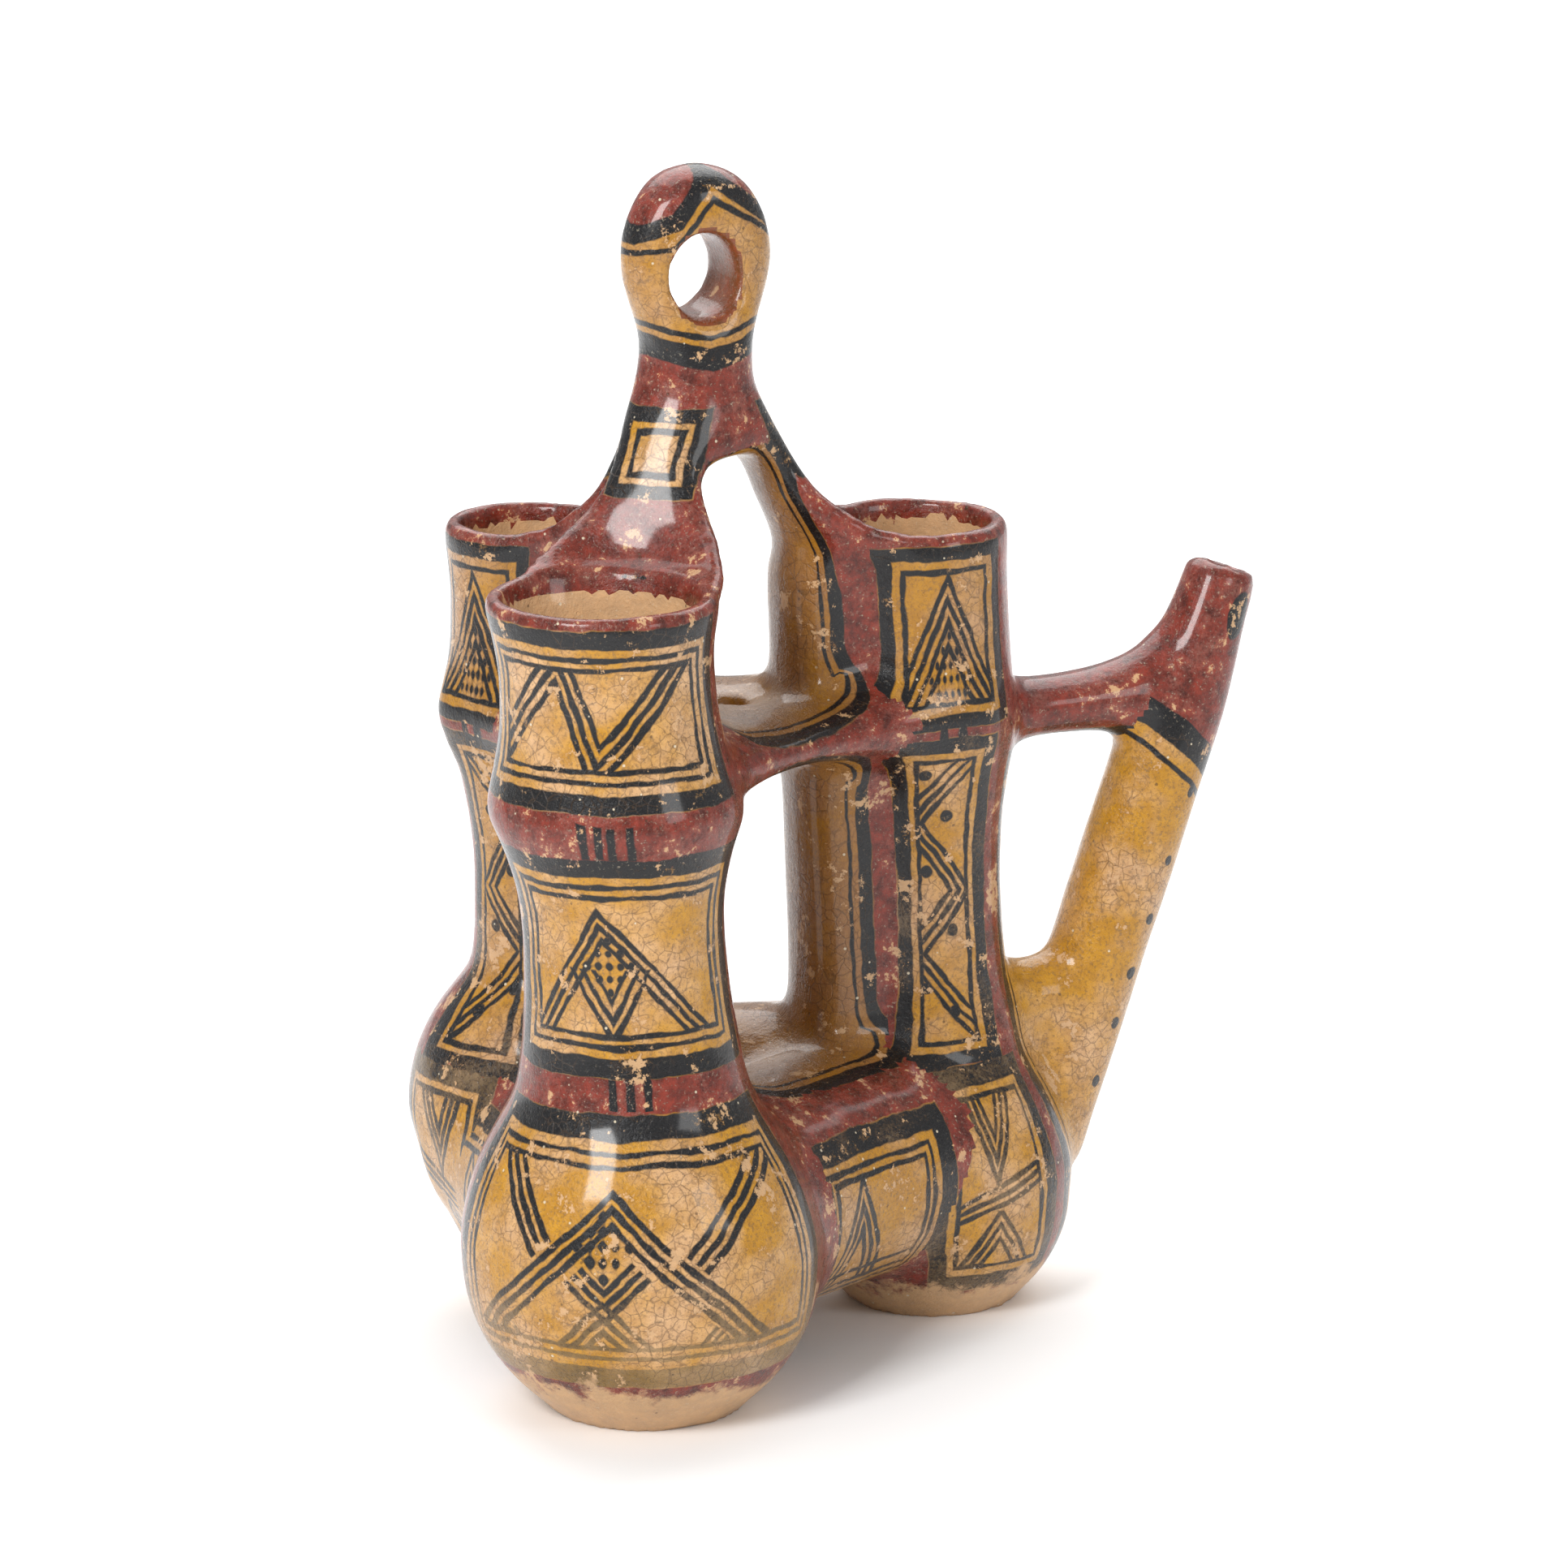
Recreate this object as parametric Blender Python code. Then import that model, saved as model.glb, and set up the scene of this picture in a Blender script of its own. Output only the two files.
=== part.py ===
"""Triple water vessel of hand-built earthenware.

Three gourd-shaped jars stand in a triangle on flat feet. Thick clay joints tie their bellies, a
horizontal web ties their ridges, and a strap rises from each mouth to a stem with a ring on top.
A spout leaves one belly and is tied to that jar's ridge by a bridge. It is all one fired piece.
+Z is up, +X points along the spout, and the origin is at the middle of the underside of its box.
"""

import math
from dataclasses import dataclass

import bmesh
import bpy
from mathutils import Vector

# Driving sizes in metres, bearings in degrees anticlockwise from +X seen from above.
GROUND_REACH = 0.5
GROUND_DEPTH = 0.05
WALL = 0.0055
FLOOR = 0.008
FOOT_SINK = 0.0044
RIM_HEIGHT = 0.2455
NECK_HEIGHT = 0.2190
LEAN_CURVE = 1.4
SHOULDER_SHARE = 1.10
SHOULDER_BLEND = 0.0090
COLUMN_FLARE = 0.0050
COLUMN_DROP = 0.0500

# Front jar, the widest.
FRONT_BEARING = -131.6
FRONT_REACH = 0.0693
FRONT_LEAN = 0.0120
FRONT_FOOT_RADIUS = 0.0285
FRONT_BELLY_RADIUS = 0.0530
FRONT_BELLY_HEIGHT = 0.0470
FRONT_WAIST_RADIUS = 0.0296
FRONT_WAIST_HEIGHT = 0.1460
FRONT_RIDGE_HEIGHT = 0.1810
FRONT_RIDGE_RADIUS = 0.0385
FRONT_NECK_RADIUS = 0.0315
FRONT_RIM_RADIUS = 0.0352

# Back jar, with the highest belly.
BACK_BEARING = 118.0
BACK_REACH = 0.0575
BACK_LEAN = 0.0055
BACK_FOOT_RADIUS = 0.0190
BACK_BELLY_RADIUS = 0.0440
BACK_BELLY_HEIGHT = 0.0620
BACK_WAIST_RADIUS = 0.0215
BACK_WAIST_HEIGHT = 0.1350
BACK_RIDGE_HEIGHT = 0.1870
BACK_RIDGE_RADIUS = 0.0305
BACK_NECK_RADIUS = 0.0255
BACK_RIM_RADIUS = 0.0275

# Spout jar, on the +X side.
SPOUT_JAR_BEARING = 0.0
SPOUT_JAR_REACH = 0.0770
SPOUT_JAR_LEAN = 0.0070
SPOUT_JAR_FOOT_RADIUS = 0.0255
SPOUT_JAR_BELLY_RADIUS = 0.0437
SPOUT_JAR_BELLY_HEIGHT = 0.0380
SPOUT_JAR_WAIST_RADIUS = 0.0238
SPOUT_JAR_WAIST_HEIGHT = 0.1330
SPOUT_JAR_RIDGE_HEIGHT = 0.1810
SPOUT_JAR_RIDGE_RADIUS = 0.0310
SPOUT_JAR_NECK_RADIUS = 0.0285
SPOUT_JAR_RIM_RADIUS = 0.0297

# The whole pot leans a little to one side, each jar by its own amount at the rim.
LEAN_BEARING = 153.0
STEM_LEAN = 0.0025

# Straps and the hood that each mouth draws up into its strap.
STRAP_START_HEIGHT = 0.2220
STRAP_TOP_HEIGHT = 0.3080
STRAP_HALF_WIDTH = 0.0145
STRAP_HALF_THICKNESS = 0.0062
RIB_HALF_THICKNESS = 0.0080
STRAP_RIB_INSET = 0.0067
WAIST_RIB_INSET = 0.0085
STRAP_POWER = 2.6
STRAP_SWING = 1.6
HOOD_HEIGHT = 0.0240
HOOD_FLARE = 0.0125
HOOD_TAPER = 1.3
MOUTH_CUT_START = 0.25
MOUTH_CUT_END = 1.25
RIB_ROOT = 2.2

# Ring finial and its stem.
RING_TOP_HEIGHT = 0.3590
RING_WIDEST_HEIGHT = 0.3310
RING_HALF_WIDTH = 0.0240
RING_HALF_THICKNESS = 0.0122
RING_CROWN_FULLNESS = 1.6
CROWN_GAP = 0.0004
RING_HOLE_X = -0.0020
RING_HOLE_HEIGHT = 0.3265
RING_HOLE_HALF_WIDTH = 0.0104
RING_HOLE_HALF_HEIGHT = 0.0123
RING_HOLE_FLARE = 0.25
STEM_HEIGHT = 0.3010
STEM_HALF_WIDTH = 0.0158
STEM_HALF_THICKNESS = 0.0155
STEM_ROOT_HEIGHT = 0.2720
STEM_ROOT_HALF_WIDTH = 0.0200

# Web between the ridges, and the joints between the bellies.
WEB_HEIGHT = 0.1872
WEB_HALF_THICKNESS = 0.0075
WEB_HALF_WIDTH = 0.0190
WEB_MIDDLE_REACH = 0.0300
CAKE_EDGE = 0.05
WEB_FLARE = 0.8
WEB_DEEPENING = 2.6
WEB_HOLE_RADIUS = 0.0050
WEB_HOLE_FLARE = 0.15
WEB_HOLE_X = 0.0117
WEB_HOLE_Y = 0.0075
JOINT_HEIGHT = 0.0510
JOINT_HALF_HEIGHT = 0.0360
JOINT_HALF_WIDTH = 0.0365
BACK_JOINT_RISE = 0.0050
JOINT_END_SHARE = 0.96
JOINT_CURVE = 1.6
PASSAGE_RADIUS = 0.0270

# Spout, measured outward from the axis of its jar.
SPOUT_FOOT_REACH = 0.0348
SPOUT_FOOT_HEIGHT = 0.0400
SPOUT_TIP_REACH = 0.1010
SPOUT_TIP_HEIGHT = 0.2200
SPOUT_TUBE_RADIUS = 0.0152
SPOUT_TIP_RADIUS = 0.0116
SPOUT_BORE_RADIUS = 0.0085
SPOUT_TIP_BORE_RADIUS = 0.0050
SPOUT_TAPER_START = 0.72
BORE_TAPER_START = 0.62
BORE_OVERRUN = 1.06
SADDLE_HEIGHT = 0.0880
SADDLE_HALF_HEIGHT = 0.0150
BRIDGE_HEIGHT = 0.1815
BRIDGE_HALF_HEIGHT = 0.0100
BRIDGE_FLARE = 0.55
TIE_HALF_WIDTH = 0.0125

# Fineness of the clay skin before and after it is thinned to facets.
CLAY_VOXEL = 0.0022
CLAY_SMOOTHING = 18
SKIN_TRIANGLES = 5950
SHAPE_SEGMENTS = 40
HOLLOW_SEGMENTS = 24
BORE_SEGMENTS = 12

UP = Vector((0.0, 0.0, 1.0))
EAST = Vector((1.0, 0.0, 0.0))
NORTH = Vector((0.0, 1.0, 0.0))


def polar(bearing, reach, height=0.0):
    """Point at a bearing in degrees and a reach from the vertical axis."""
    angle = math.radians(bearing)
    return Vector((reach * math.cos(angle), reach * math.sin(angle), height))


def ease(share):
    """Smooth rise from 0 to 1."""
    return 0.5 - 0.5 * math.cos(math.pi * min(max(share, 0.0), 1.0))


@dataclass(frozen=True)
class Jar:
    """One gourd-shaped jar: where it stands and its outline."""

    name: str
    bearing: float
    reach: float
    lean: float
    foot: float
    belly: float
    belly_height: float
    waist: float
    waist_height: float
    ridge: float
    ridge_height: float
    neck: float
    rim: float

    def axis(self, height):
        """Centre of the jar at a height, on its leaning axis."""
        share = max(height / RIM_HEIGHT, 0.0) ** LEAN_CURVE
        return polar(self.bearing, self.reach, height) + polar(LEAN_BEARING, self.lean * share)

    def radius(self, height):
        """Outer radius: a round belly, two hollows that meet at the ridge, and a flared rim."""
        if height <= self.belly_height:
            drop = (self.belly_height - height) / self.belly_height
            return self.belly - (self.belly - self.foot) * drop ** self.fullness()
        if height <= self.waist_height:
            rise = min((height - self.belly_height) / (SHOULDER_SHARE * self.belly), 1.0)
            dome = self.belly * math.sqrt(1.0 - rise * rise)
            column = self.waist + COLUMN_FLARE * ((self.waist_height - height) / COLUMN_DROP) ** 2
            blend = max(SHOULDER_BLEND - abs(dome - column), 0.0) / SHOULDER_BLEND
            return max(dome, column) + SHOULDER_BLEND * blend * blend / 4.0
        if height <= self.ridge_height:
            share = (height - self.waist_height) / (self.ridge_height - self.waist_height)
            return self.waist + (self.ridge - self.waist) * share ** 2
        if height <= NECK_HEIGHT:
            share = (NECK_HEIGHT - height) / (NECK_HEIGHT - self.ridge_height)
            return self.neck + (self.ridge - self.neck) * share ** 2
        share = min((height - NECK_HEIGHT) / (RIM_HEIGHT - NECK_HEIGHT), 1.0)
        return self.neck + (self.rim - self.neck) * share ** 2

    def fullness(self):
        """How round the belly is below its widest: a wide belly over a low foot is rounder."""
        return 1.0 + (self.belly / self.belly_height) ** 3

    def inward(self):
        """Level direction from the jar to the middle of the pot."""
        return -polar(self.bearing, 1.0)

    def rib(self, height):
        """Reach inward from the axis to the middle of the rib that carries the strap."""
        share = (height - self.waist_height) / (NECK_HEIGHT - self.waist_height)
        waist = self.waist + WAIST_RIB_INSET
        return waist + (self.neck + STRAP_RIB_INSET - waist) * ease(share)


FRONT = Jar("front", FRONT_BEARING, FRONT_REACH, FRONT_LEAN, FRONT_FOOT_RADIUS, FRONT_BELLY_RADIUS,
            FRONT_BELLY_HEIGHT, FRONT_WAIST_RADIUS, FRONT_WAIST_HEIGHT, FRONT_RIDGE_RADIUS,
            FRONT_RIDGE_HEIGHT, FRONT_NECK_RADIUS, FRONT_RIM_RADIUS)
BACK = Jar("back", BACK_BEARING, BACK_REACH, BACK_LEAN, BACK_FOOT_RADIUS, BACK_BELLY_RADIUS,
           BACK_BELLY_HEIGHT, BACK_WAIST_RADIUS, BACK_WAIST_HEIGHT, BACK_RIDGE_RADIUS,
           BACK_RIDGE_HEIGHT, BACK_NECK_RADIUS, BACK_RIM_RADIUS)
SPOUTED = Jar("spouted", SPOUT_JAR_BEARING, SPOUT_JAR_REACH, SPOUT_JAR_LEAN, SPOUT_JAR_FOOT_RADIUS,
              SPOUT_JAR_BELLY_RADIUS, SPOUT_JAR_BELLY_HEIGHT, SPOUT_JAR_WAIST_RADIUS,
              SPOUT_JAR_WAIST_HEIGHT, SPOUT_JAR_RIDGE_RADIUS, SPOUT_JAR_RIDGE_HEIGHT,
              SPOUT_JAR_NECK_RADIUS, SPOUT_JAR_RIM_RADIUS)
JARS = (FRONT, BACK, SPOUTED)
STEM_FOOT = polar(LEAN_BEARING, STEM_LEAN)


def clear_scene():
    """Remove whatever the open file holds."""
    for item in list(bpy.data.objects):
        bpy.data.objects.remove(item, do_unlink=True)


def closed_loft(name, loops):
    """Closed solid through a row of point loops of equal length, capped at both ends."""
    mesh = bpy.data.meshes.new(name)
    model = bmesh.new()
    rings = [[model.verts.new(point) for point in loop] for loop in loops]
    count = len(loops[0])
    for low, high in zip(rings, rings[1:]):
        for index in range(count):
            after = (index + 1) % count
            model.faces.new((low[index], low[after], high[after], high[index]))
    for ring in (rings[0], rings[-1]):
        model.faces.new(ring)
    bmesh.ops.recalc_face_normals(model, faces=model.faces)
    model.to_mesh(mesh)
    model.free()
    item = bpy.data.objects.new(name, mesh)
    bpy.context.scene.collection.objects.link(item)
    return item


def ring_points(centre, side, up, half_side, half_up, segments, power=2.0):
    """Closed loop around a centre: an ellipse, or squarer with a power above 2."""
    points = []
    for index in range(segments):
        angle = 2.0 * math.pi * index / segments
        across = math.copysign(abs(math.cos(angle)) ** (2.0 / power), math.cos(angle))
        along = math.copysign(abs(math.sin(angle)) ** (2.0 / power), math.sin(angle))
        points.append(centre + side * (half_side * across) + up * (half_up * along))
    return points


def swept(name, stations, side, segments):
    """Loft an ellipse along stations of (centre, half width along side, half thickness)."""
    loops = []
    for index, (centre, half_side, half_up) in enumerate(stations):
        before = stations[max(index - 1, 0)][0]
        after = stations[min(index + 1, len(stations) - 1)][0]
        up = (after - before).cross(side).normalized()
        loops.append(ring_points(centre, side, up, half_side, half_up, segments))
    return closed_loft(name, loops)


def spread(low, high, count):
    """Evenly spaced values from low to high, both included."""
    return [low + (high - low) * index / (count - 1) for index in range(count)]


def jar_solid(jar):
    """The jar as solid clay, sunk a little below its foot for a flat cut."""
    loops = []
    for height in spread(0.0, RIM_HEIGHT, 50):
        radius = jar.radius(height)
        loops.append(ring_points(jar.axis(height), EAST, NORTH, radius, radius, SHAPE_SEGMENTS))
    sunk = [point - UP * FOOT_SINK for point in loops[0]]
    return closed_loft(jar.name + "_clay", [sunk] + loops)


def strap_shift(jar, height):
    """How far a jar's strap has swung from the jar to the stem at a height, as a level vector."""
    share = max((height - STRAP_START_HEIGHT) / (STRAP_TOP_HEIGHT - STRAP_START_HEIGHT), 0.0)
    start = jar.axis(height) + jar.inward() * jar.rib(height)
    return (STEM_FOOT + UP * height - start) * min(share, 1.0) ** STRAP_SWING


def strap_solid(jar):
    """Rib up the inward wall, spread round the mouth as a hood and drawn over to the stem."""
    inward = jar.inward()
    side = UP.cross(inward)
    lip = jar.rim - WALL * 0.5
    loops = []
    for height in spread(JOINT_HEIGHT, STRAP_TOP_HEIGHT, 34):
        centre = jar.axis(height) + inward * jar.rib(height) + strap_shift(jar, height)
        above = height + CLAY_VOXEL
        after = jar.axis(above) + inward * jar.rib(above) + strap_shift(jar, above)
        up = (after - centre).cross(side).normalized()
        gap = abs(height - RIM_HEIGHT) / HOOD_FLARE
        hood = math.exp(-gap ** (HOOD_TAPER if height > RIM_HEIGHT else 2.0))
        half_width = STRAP_HALF_WIDTH + (lip - STRAP_HALF_WIDTH) * hood
        below = ease((RIM_HEIGHT - height) / (RIM_HEIGHT - NECK_HEIGHT))
        root = 1.0 + RIB_ROOT * below
        half_thickness = STRAP_HALF_THICKNESS + (RIB_HALF_THICKNESS - STRAP_HALF_THICKNESS) * below
        loop = []
        for point in ring_points(centre, side, up, half_width, half_thickness, 36, STRAP_POWER):
            outward = max((centre - point).dot(inward), 0.0)
            point = point - inward * (outward * (root - 1.0))
            across = (point - centre).dot(side)
            reach = jar.rib(height) + (lip - jar.rib(height)) * (across / lip) ** 2
            wrap = jar.rib(height) - math.sqrt(max(reach ** 2 - across ** 2, 0.0))
            loop.append(point - inward * (wrap * hood))
        loops.append(loop)
    return closed_loft(jar.name + "_strap", loops)


def web_solid(one, other):
    """Level web between two ridges, deeper where it meets them."""
    start = one.axis(WEB_HEIGHT)
    end = other.axis(WEB_HEIGHT)
    side = (end - start).cross(UP).normalized()
    stations = []
    for share in spread(0.0, 1.0, 13):
        nearness = (2.0 * share - 1.0) ** 2
        half_width = WEB_HALF_WIDTH * (1.0 + WEB_FLARE * nearness)
        half_height = WEB_HALF_THICKNESS * (1.0 + WEB_DEEPENING * nearness)
        stations.append((start.lerp(end, share), half_width, half_height))
    return swept("web_" + one.name, stations, side, 32)


def joint_height(one, other):
    """Height of the joint between two bellies, a little more away from the front jar."""
    return JOINT_HEIGHT + (0.0 if FRONT in (one, other) else BACK_JOINT_RISE)


def joint_solid(one, other):
    """Thick joint between two bellies, drawn in like a waist at its middle."""
    start = one.axis(joint_height(one, other))
    end = other.axis(joint_height(one, other))
    side = (end - start).cross(UP).normalized()
    stations = []
    for share in spread(0.0, 1.0, 17):
        belly = (one if share < 0.5 else other).belly * JOINT_END_SHARE
        nearness = abs(2.0 * share - 1.0) ** JOINT_CURVE
        half_width = JOINT_HALF_WIDTH + (belly - JOINT_HALF_WIDTH) * nearness
        stations.append((start.lerp(end, share), half_width, JOINT_HALF_HEIGHT))
    return swept("joint_" + one.name, stations, side, 32)


def finial_solid():
    """Egg-shaped block for the ring, drawn out below into the round stem."""
    loops = []
    for height in spread(STEM_ROOT_HEIGHT, RING_TOP_HEIGHT - CROWN_GAP, 30):
        if height > RING_WIDEST_HEIGHT:
            rise = (height - RING_WIDEST_HEIGHT) / (RING_TOP_HEIGHT - RING_WIDEST_HEIGHT)
            crown = math.sqrt(1.0 - rise * rise)
            half_width = RING_HALF_WIDTH * crown
            half_thickness = RING_HALF_THICKNESS * min(1.0, RING_CROWN_FULLNESS * crown)
        elif height < STEM_HEIGHT:
            share = (STEM_HEIGHT - height) / (STEM_HEIGHT - STEM_ROOT_HEIGHT)
            half_width = STEM_HALF_WIDTH + (STEM_ROOT_HALF_WIDTH - STEM_HALF_WIDTH) * share ** 2
            root_gain = STEM_ROOT_HALF_WIDTH - STEM_HALF_THICKNESS
            half_thickness = STEM_HALF_THICKNESS + root_gain * share ** 2
        else:
            share = ease((height - STEM_HEIGHT) / (RING_WIDEST_HEIGHT - STEM_HEIGHT))
            half_width = STEM_HALF_WIDTH + (RING_HALF_WIDTH - STEM_HALF_WIDTH) * share
            ring_gain = RING_HALF_THICKNESS - STEM_HALF_THICKNESS
            half_thickness = STEM_HALF_THICKNESS + ring_gain * share
        centre = STEM_FOOT + UP * height
        loops.append(ring_points(centre, EAST, NORTH, half_width, half_thickness,
                                 SHAPE_SEGMENTS, STRAP_POWER))
    return closed_loft("finial_clay", loops)


def spout_line(share):
    """Centre of the spout at a share of its length, from inside the belly to the tip."""
    reach = SPOUT_FOOT_REACH + (SPOUT_TIP_REACH - SPOUT_FOOT_REACH) * share
    height = SPOUT_FOOT_HEIGHT + (SPOUT_TIP_HEIGHT - SPOUT_FOOT_HEIGHT) * share
    return SPOUTED.axis(0.0) + Vector((reach, 0.0, height))


def spout_radius(share):
    """Outer radius of the spout, drawn in over its last part."""
    taper = ease((share - SPOUT_TAPER_START) / (1.0 - SPOUT_TAPER_START))
    return SPOUT_TUBE_RADIUS + (SPOUT_TIP_RADIUS - SPOUT_TUBE_RADIUS) * taper


def spout_solid():
    """The spout as solid clay."""
    stations = []
    for share in spread(0.0, 1.0, 22):
        stations.append((spout_line(share), spout_radius(share), spout_radius(share)))
    return swept("spout_clay", stations, NORTH, SHAPE_SEGMENTS)


def spout_tie(name, height, half_height, flare):
    """Level tie from the spout jar's axis to the spout, deeper at both ends."""
    start = SPOUTED.axis(height)
    rise = (height - SPOUT_FOOT_HEIGHT) / (SPOUT_TIP_HEIGHT - SPOUT_FOOT_HEIGHT)
    end = spout_line(rise)
    end.y = start.y
    stations = []
    for share in spread(0.0, 1.0, 11):
        swell = 1.0 + flare * (1.0 + share) * (2.0 * share - 1.0) ** 4
        stations.append((start.lerp(end, share), TIE_HALF_WIDTH, half_height * swell))
    return swept(name, stations, NORTH, 24)


def web_middle_solid():
    """Round cake of clay that fills the middle between the three webs."""
    loops = []
    for share in spread(-1.0, 1.0, 9):
        radius = WEB_MIDDLE_REACH * math.sqrt(max(1.0 - share * share, CAKE_EDGE))
        centre = UP * (WEB_HEIGHT + WEB_HALF_THICKNESS * share)
        loops.append(ring_points(centre, EAST, NORTH, radius, radius, SHAPE_SEGMENTS))
    return closed_loft("web_middle", loops)


def hollow_cutter(jar):
    """Inside of a jar, one wall in from its outline, open above the rim."""
    loops = []
    for height in spread(FLOOR, RIM_HEIGHT, 20):
        radius = jar.radius(height) - WALL
        if height < jar.belly_height:
            drop = (jar.belly_height - height) / (jar.belly_height - FLOOR)
            radius = jar.belly - WALL - (jar.belly - jar.foot) * drop ** jar.fullness()
        loops.append(ring_points(jar.axis(height), EAST, NORTH, radius, radius, HOLLOW_SEGMENTS))
    mouth = jar.rim - WALL
    for share in spread(MOUTH_CUT_START, MOUTH_CUT_END, 4):
        lift = HOOD_HEIGHT * share
        swing = strap_shift(jar, RIM_HEIGHT + lift) - strap_shift(jar, RIM_HEIGHT)
        centre = jar.axis(RIM_HEIGHT + lift) + swing
        loops.append(ring_points(centre, EAST, NORTH, mouth, mouth, HOLLOW_SEGMENTS))
    return closed_loft(jar.name + "_hollow", loops)


def bore_cutter():
    """Channel of the spout, from inside the belly out of the tip."""
    stations = []
    for share in spread(0.0, BORE_OVERRUN, 9):
        taper = ease((share - BORE_TAPER_START) / (1.0 - BORE_TAPER_START))
        radius = SPOUT_BORE_RADIUS + (SPOUT_TIP_BORE_RADIUS - SPOUT_BORE_RADIUS) * taper
        stations.append((spout_line(share), radius, radius))
    return swept("spout_bore", stations, NORTH, BORE_SEGMENTS)


def passage_cutter(one, other):
    """Round passage that hollows the joint between two bellies."""
    start = one.axis(joint_height(one, other))
    end = other.axis(joint_height(one, other))
    side = (end - start).cross(UP).normalized()
    stations = [(start, PASSAGE_RADIUS, PASSAGE_RADIUS), (end, PASSAGE_RADIUS, PASSAGE_RADIUS)]
    return swept("passage_" + one.name, stations, side, HOLLOW_SEGMENTS)


def ring_hole_cutter():
    """Finger hole of the ring, a little wider at its two mouths."""
    centre = STEM_FOOT + Vector((RING_HOLE_X, 0.0, RING_HOLE_HEIGHT))
    loops = []
    for share in (-1.6, -1.0, -0.6, 0.6, 1.0, 1.6):
        flare = 1.0 + RING_HOLE_FLARE * max(abs(share) - 0.6, 0.0)
        middle = centre + NORTH * (RING_HALF_THICKNESS * share)
        loops.append(ring_points(middle, EAST, UP, RING_HOLE_HALF_WIDTH * flare,
                                 RING_HOLE_HALF_HEIGHT * flare, HOLLOW_SEGMENTS))
    return closed_loft("ring_hole", loops)


def web_hole_cutter():
    """Small hole through the middle of the web."""
    loops = []
    for share in (-2.6, -1.0, 0.0, 1.0, 2.6):
        radius = WEB_HOLE_RADIUS * (1.0 + WEB_HOLE_FLARE * share * share)
        centre = Vector((WEB_HOLE_X, WEB_HOLE_Y, WEB_HEIGHT + WEB_HALF_THICKNESS * share))
        loops.append(ring_points(centre, EAST, NORTH, radius, radius, BORE_SEGMENTS))
    return closed_loft("web_hole", loops)


def ground_cutter():
    """Block whose top is the ground, to cut the feet flat."""
    corners = ring_points(Vector(), EAST, NORTH, GROUND_REACH, GROUND_REACH, 4)
    return closed_loft("ground", [[corner - UP * GROUND_DEPTH for corner in corners], corners])


def fused(solids):
    """Join solids, fuse them into one clay skin, smooth its creases and thin it to facets."""
    model = bmesh.new()
    for solid in solids:
        model.from_mesh(solid.data)
        bpy.data.objects.remove(solid, do_unlink=True)
    mesh = bpy.data.meshes.new("triple_vase")
    model.to_mesh(mesh)
    model.free()
    body = bpy.data.objects.new("triple_vase", mesh)
    bpy.context.scene.collection.objects.link(body)
    remesh = body.modifiers.new("clay_skin", "REMESH")
    remesh.mode = "VOXEL"
    remesh.voxel_size = CLAY_VOXEL
    smooth = body.modifiers.new("smoothed_by_hand", "SMOOTH")
    smooth.factor = 0.5
    smooth.iterations = CLAY_SMOOTHING
    settle(body)
    thin = body.modifiers.new("facets", "DECIMATE")
    thin.ratio = SKIN_TRIANGLES / sum(len(face.vertices) - 2 for face in body.data.polygons)
    settle(body)
    return body


def settle(body):
    """Apply an object's modifiers to its mesh."""
    bpy.context.view_layer.update()
    view = body.evaluated_get(bpy.context.evaluated_depsgraph_get())
    mesh = bpy.data.meshes.new_from_object(view)
    body.modifiers.clear()
    body.data = mesh


def cut(body, cutters):
    """Cut each cutter out of the body in turn and remove it."""
    for cutter in cutters:
        cutter.hide_render = True
        cutter.display_type = "WIRE"
        step = body.modifiers.new(cutter.name, "BOOLEAN")
        step.operation = "DIFFERENCE"
        step.solver = "EXACT"
        step.object = cutter
    settle(body)
    for cutter in cutters:
        bpy.data.objects.remove(cutter, do_unlink=True)


def centre_on_box(body):
    """Move the mesh so that the origin is at the middle of the underside of its box."""
    points = [vertex.co for vertex in body.data.vertices]
    for axis in (0, 1):
        places = [point[axis] for point in points]
        middle = (min(places) + max(places)) / 2.0
        for point in points:
            point[axis] -= middle


def earthenware():
    """Slipped and resin-varnished earthenware."""
    material = bpy.data.materials.new("slipped_earthenware")
    material.use_nodes = True
    shader = material.node_tree.nodes["Principled BSDF"]
    shader.inputs["Base Color"].default_value = (0.42, 0.20, 0.09, 1.0)
    shader.inputs["Roughness"].default_value = 0.45
    shader.inputs["Metallic"].default_value = 0.0
    return material


def build():
    """Build the vessel."""
    clear_scene()
    pairs = ((FRONT, BACK), (BACK, SPOUTED), (SPOUTED, FRONT))
    solids = [jar_solid(jar) for jar in JARS]
    solids += [strap_solid(jar) for jar in JARS]
    for one, other in pairs:
        solids += [web_solid(one, other), joint_solid(one, other)]
    solids += [web_middle_solid(), finial_solid(), spout_solid()]
    solids.append(spout_tie("bridge", BRIDGE_HEIGHT, BRIDGE_HALF_HEIGHT, BRIDGE_FLARE))
    solids.append(spout_tie("saddle", SADDLE_HEIGHT, SADDLE_HALF_HEIGHT, 0.0))
    body = fused(solids)
    cutters = [hollow_cutter(jar) for jar in JARS]
    cutters += [passage_cutter(one, other) for one, other in pairs]
    cutters += [bore_cutter(), ring_hole_cutter(), web_hole_cutter(), ground_cutter()]
    cut(body, cutters)
    centre_on_box(body)
    body.data.materials.clear()
    body.data.materials.append(earthenware())
    body.data.shade_smooth()
    body.data.set_sharp_from_angle(angle=math.radians(35.0))


build()
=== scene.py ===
"""Dresses the triple water vessel: hand-built earthenware, slipped, painted and resin-varnished."""

import logging
import math
from dataclasses import dataclass
from enum import Enum
from typing import Optional, Sequence, Union

import bmesh
import bpy
import numpy as np
from mathutils import Matrix, Vector, noise

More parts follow.
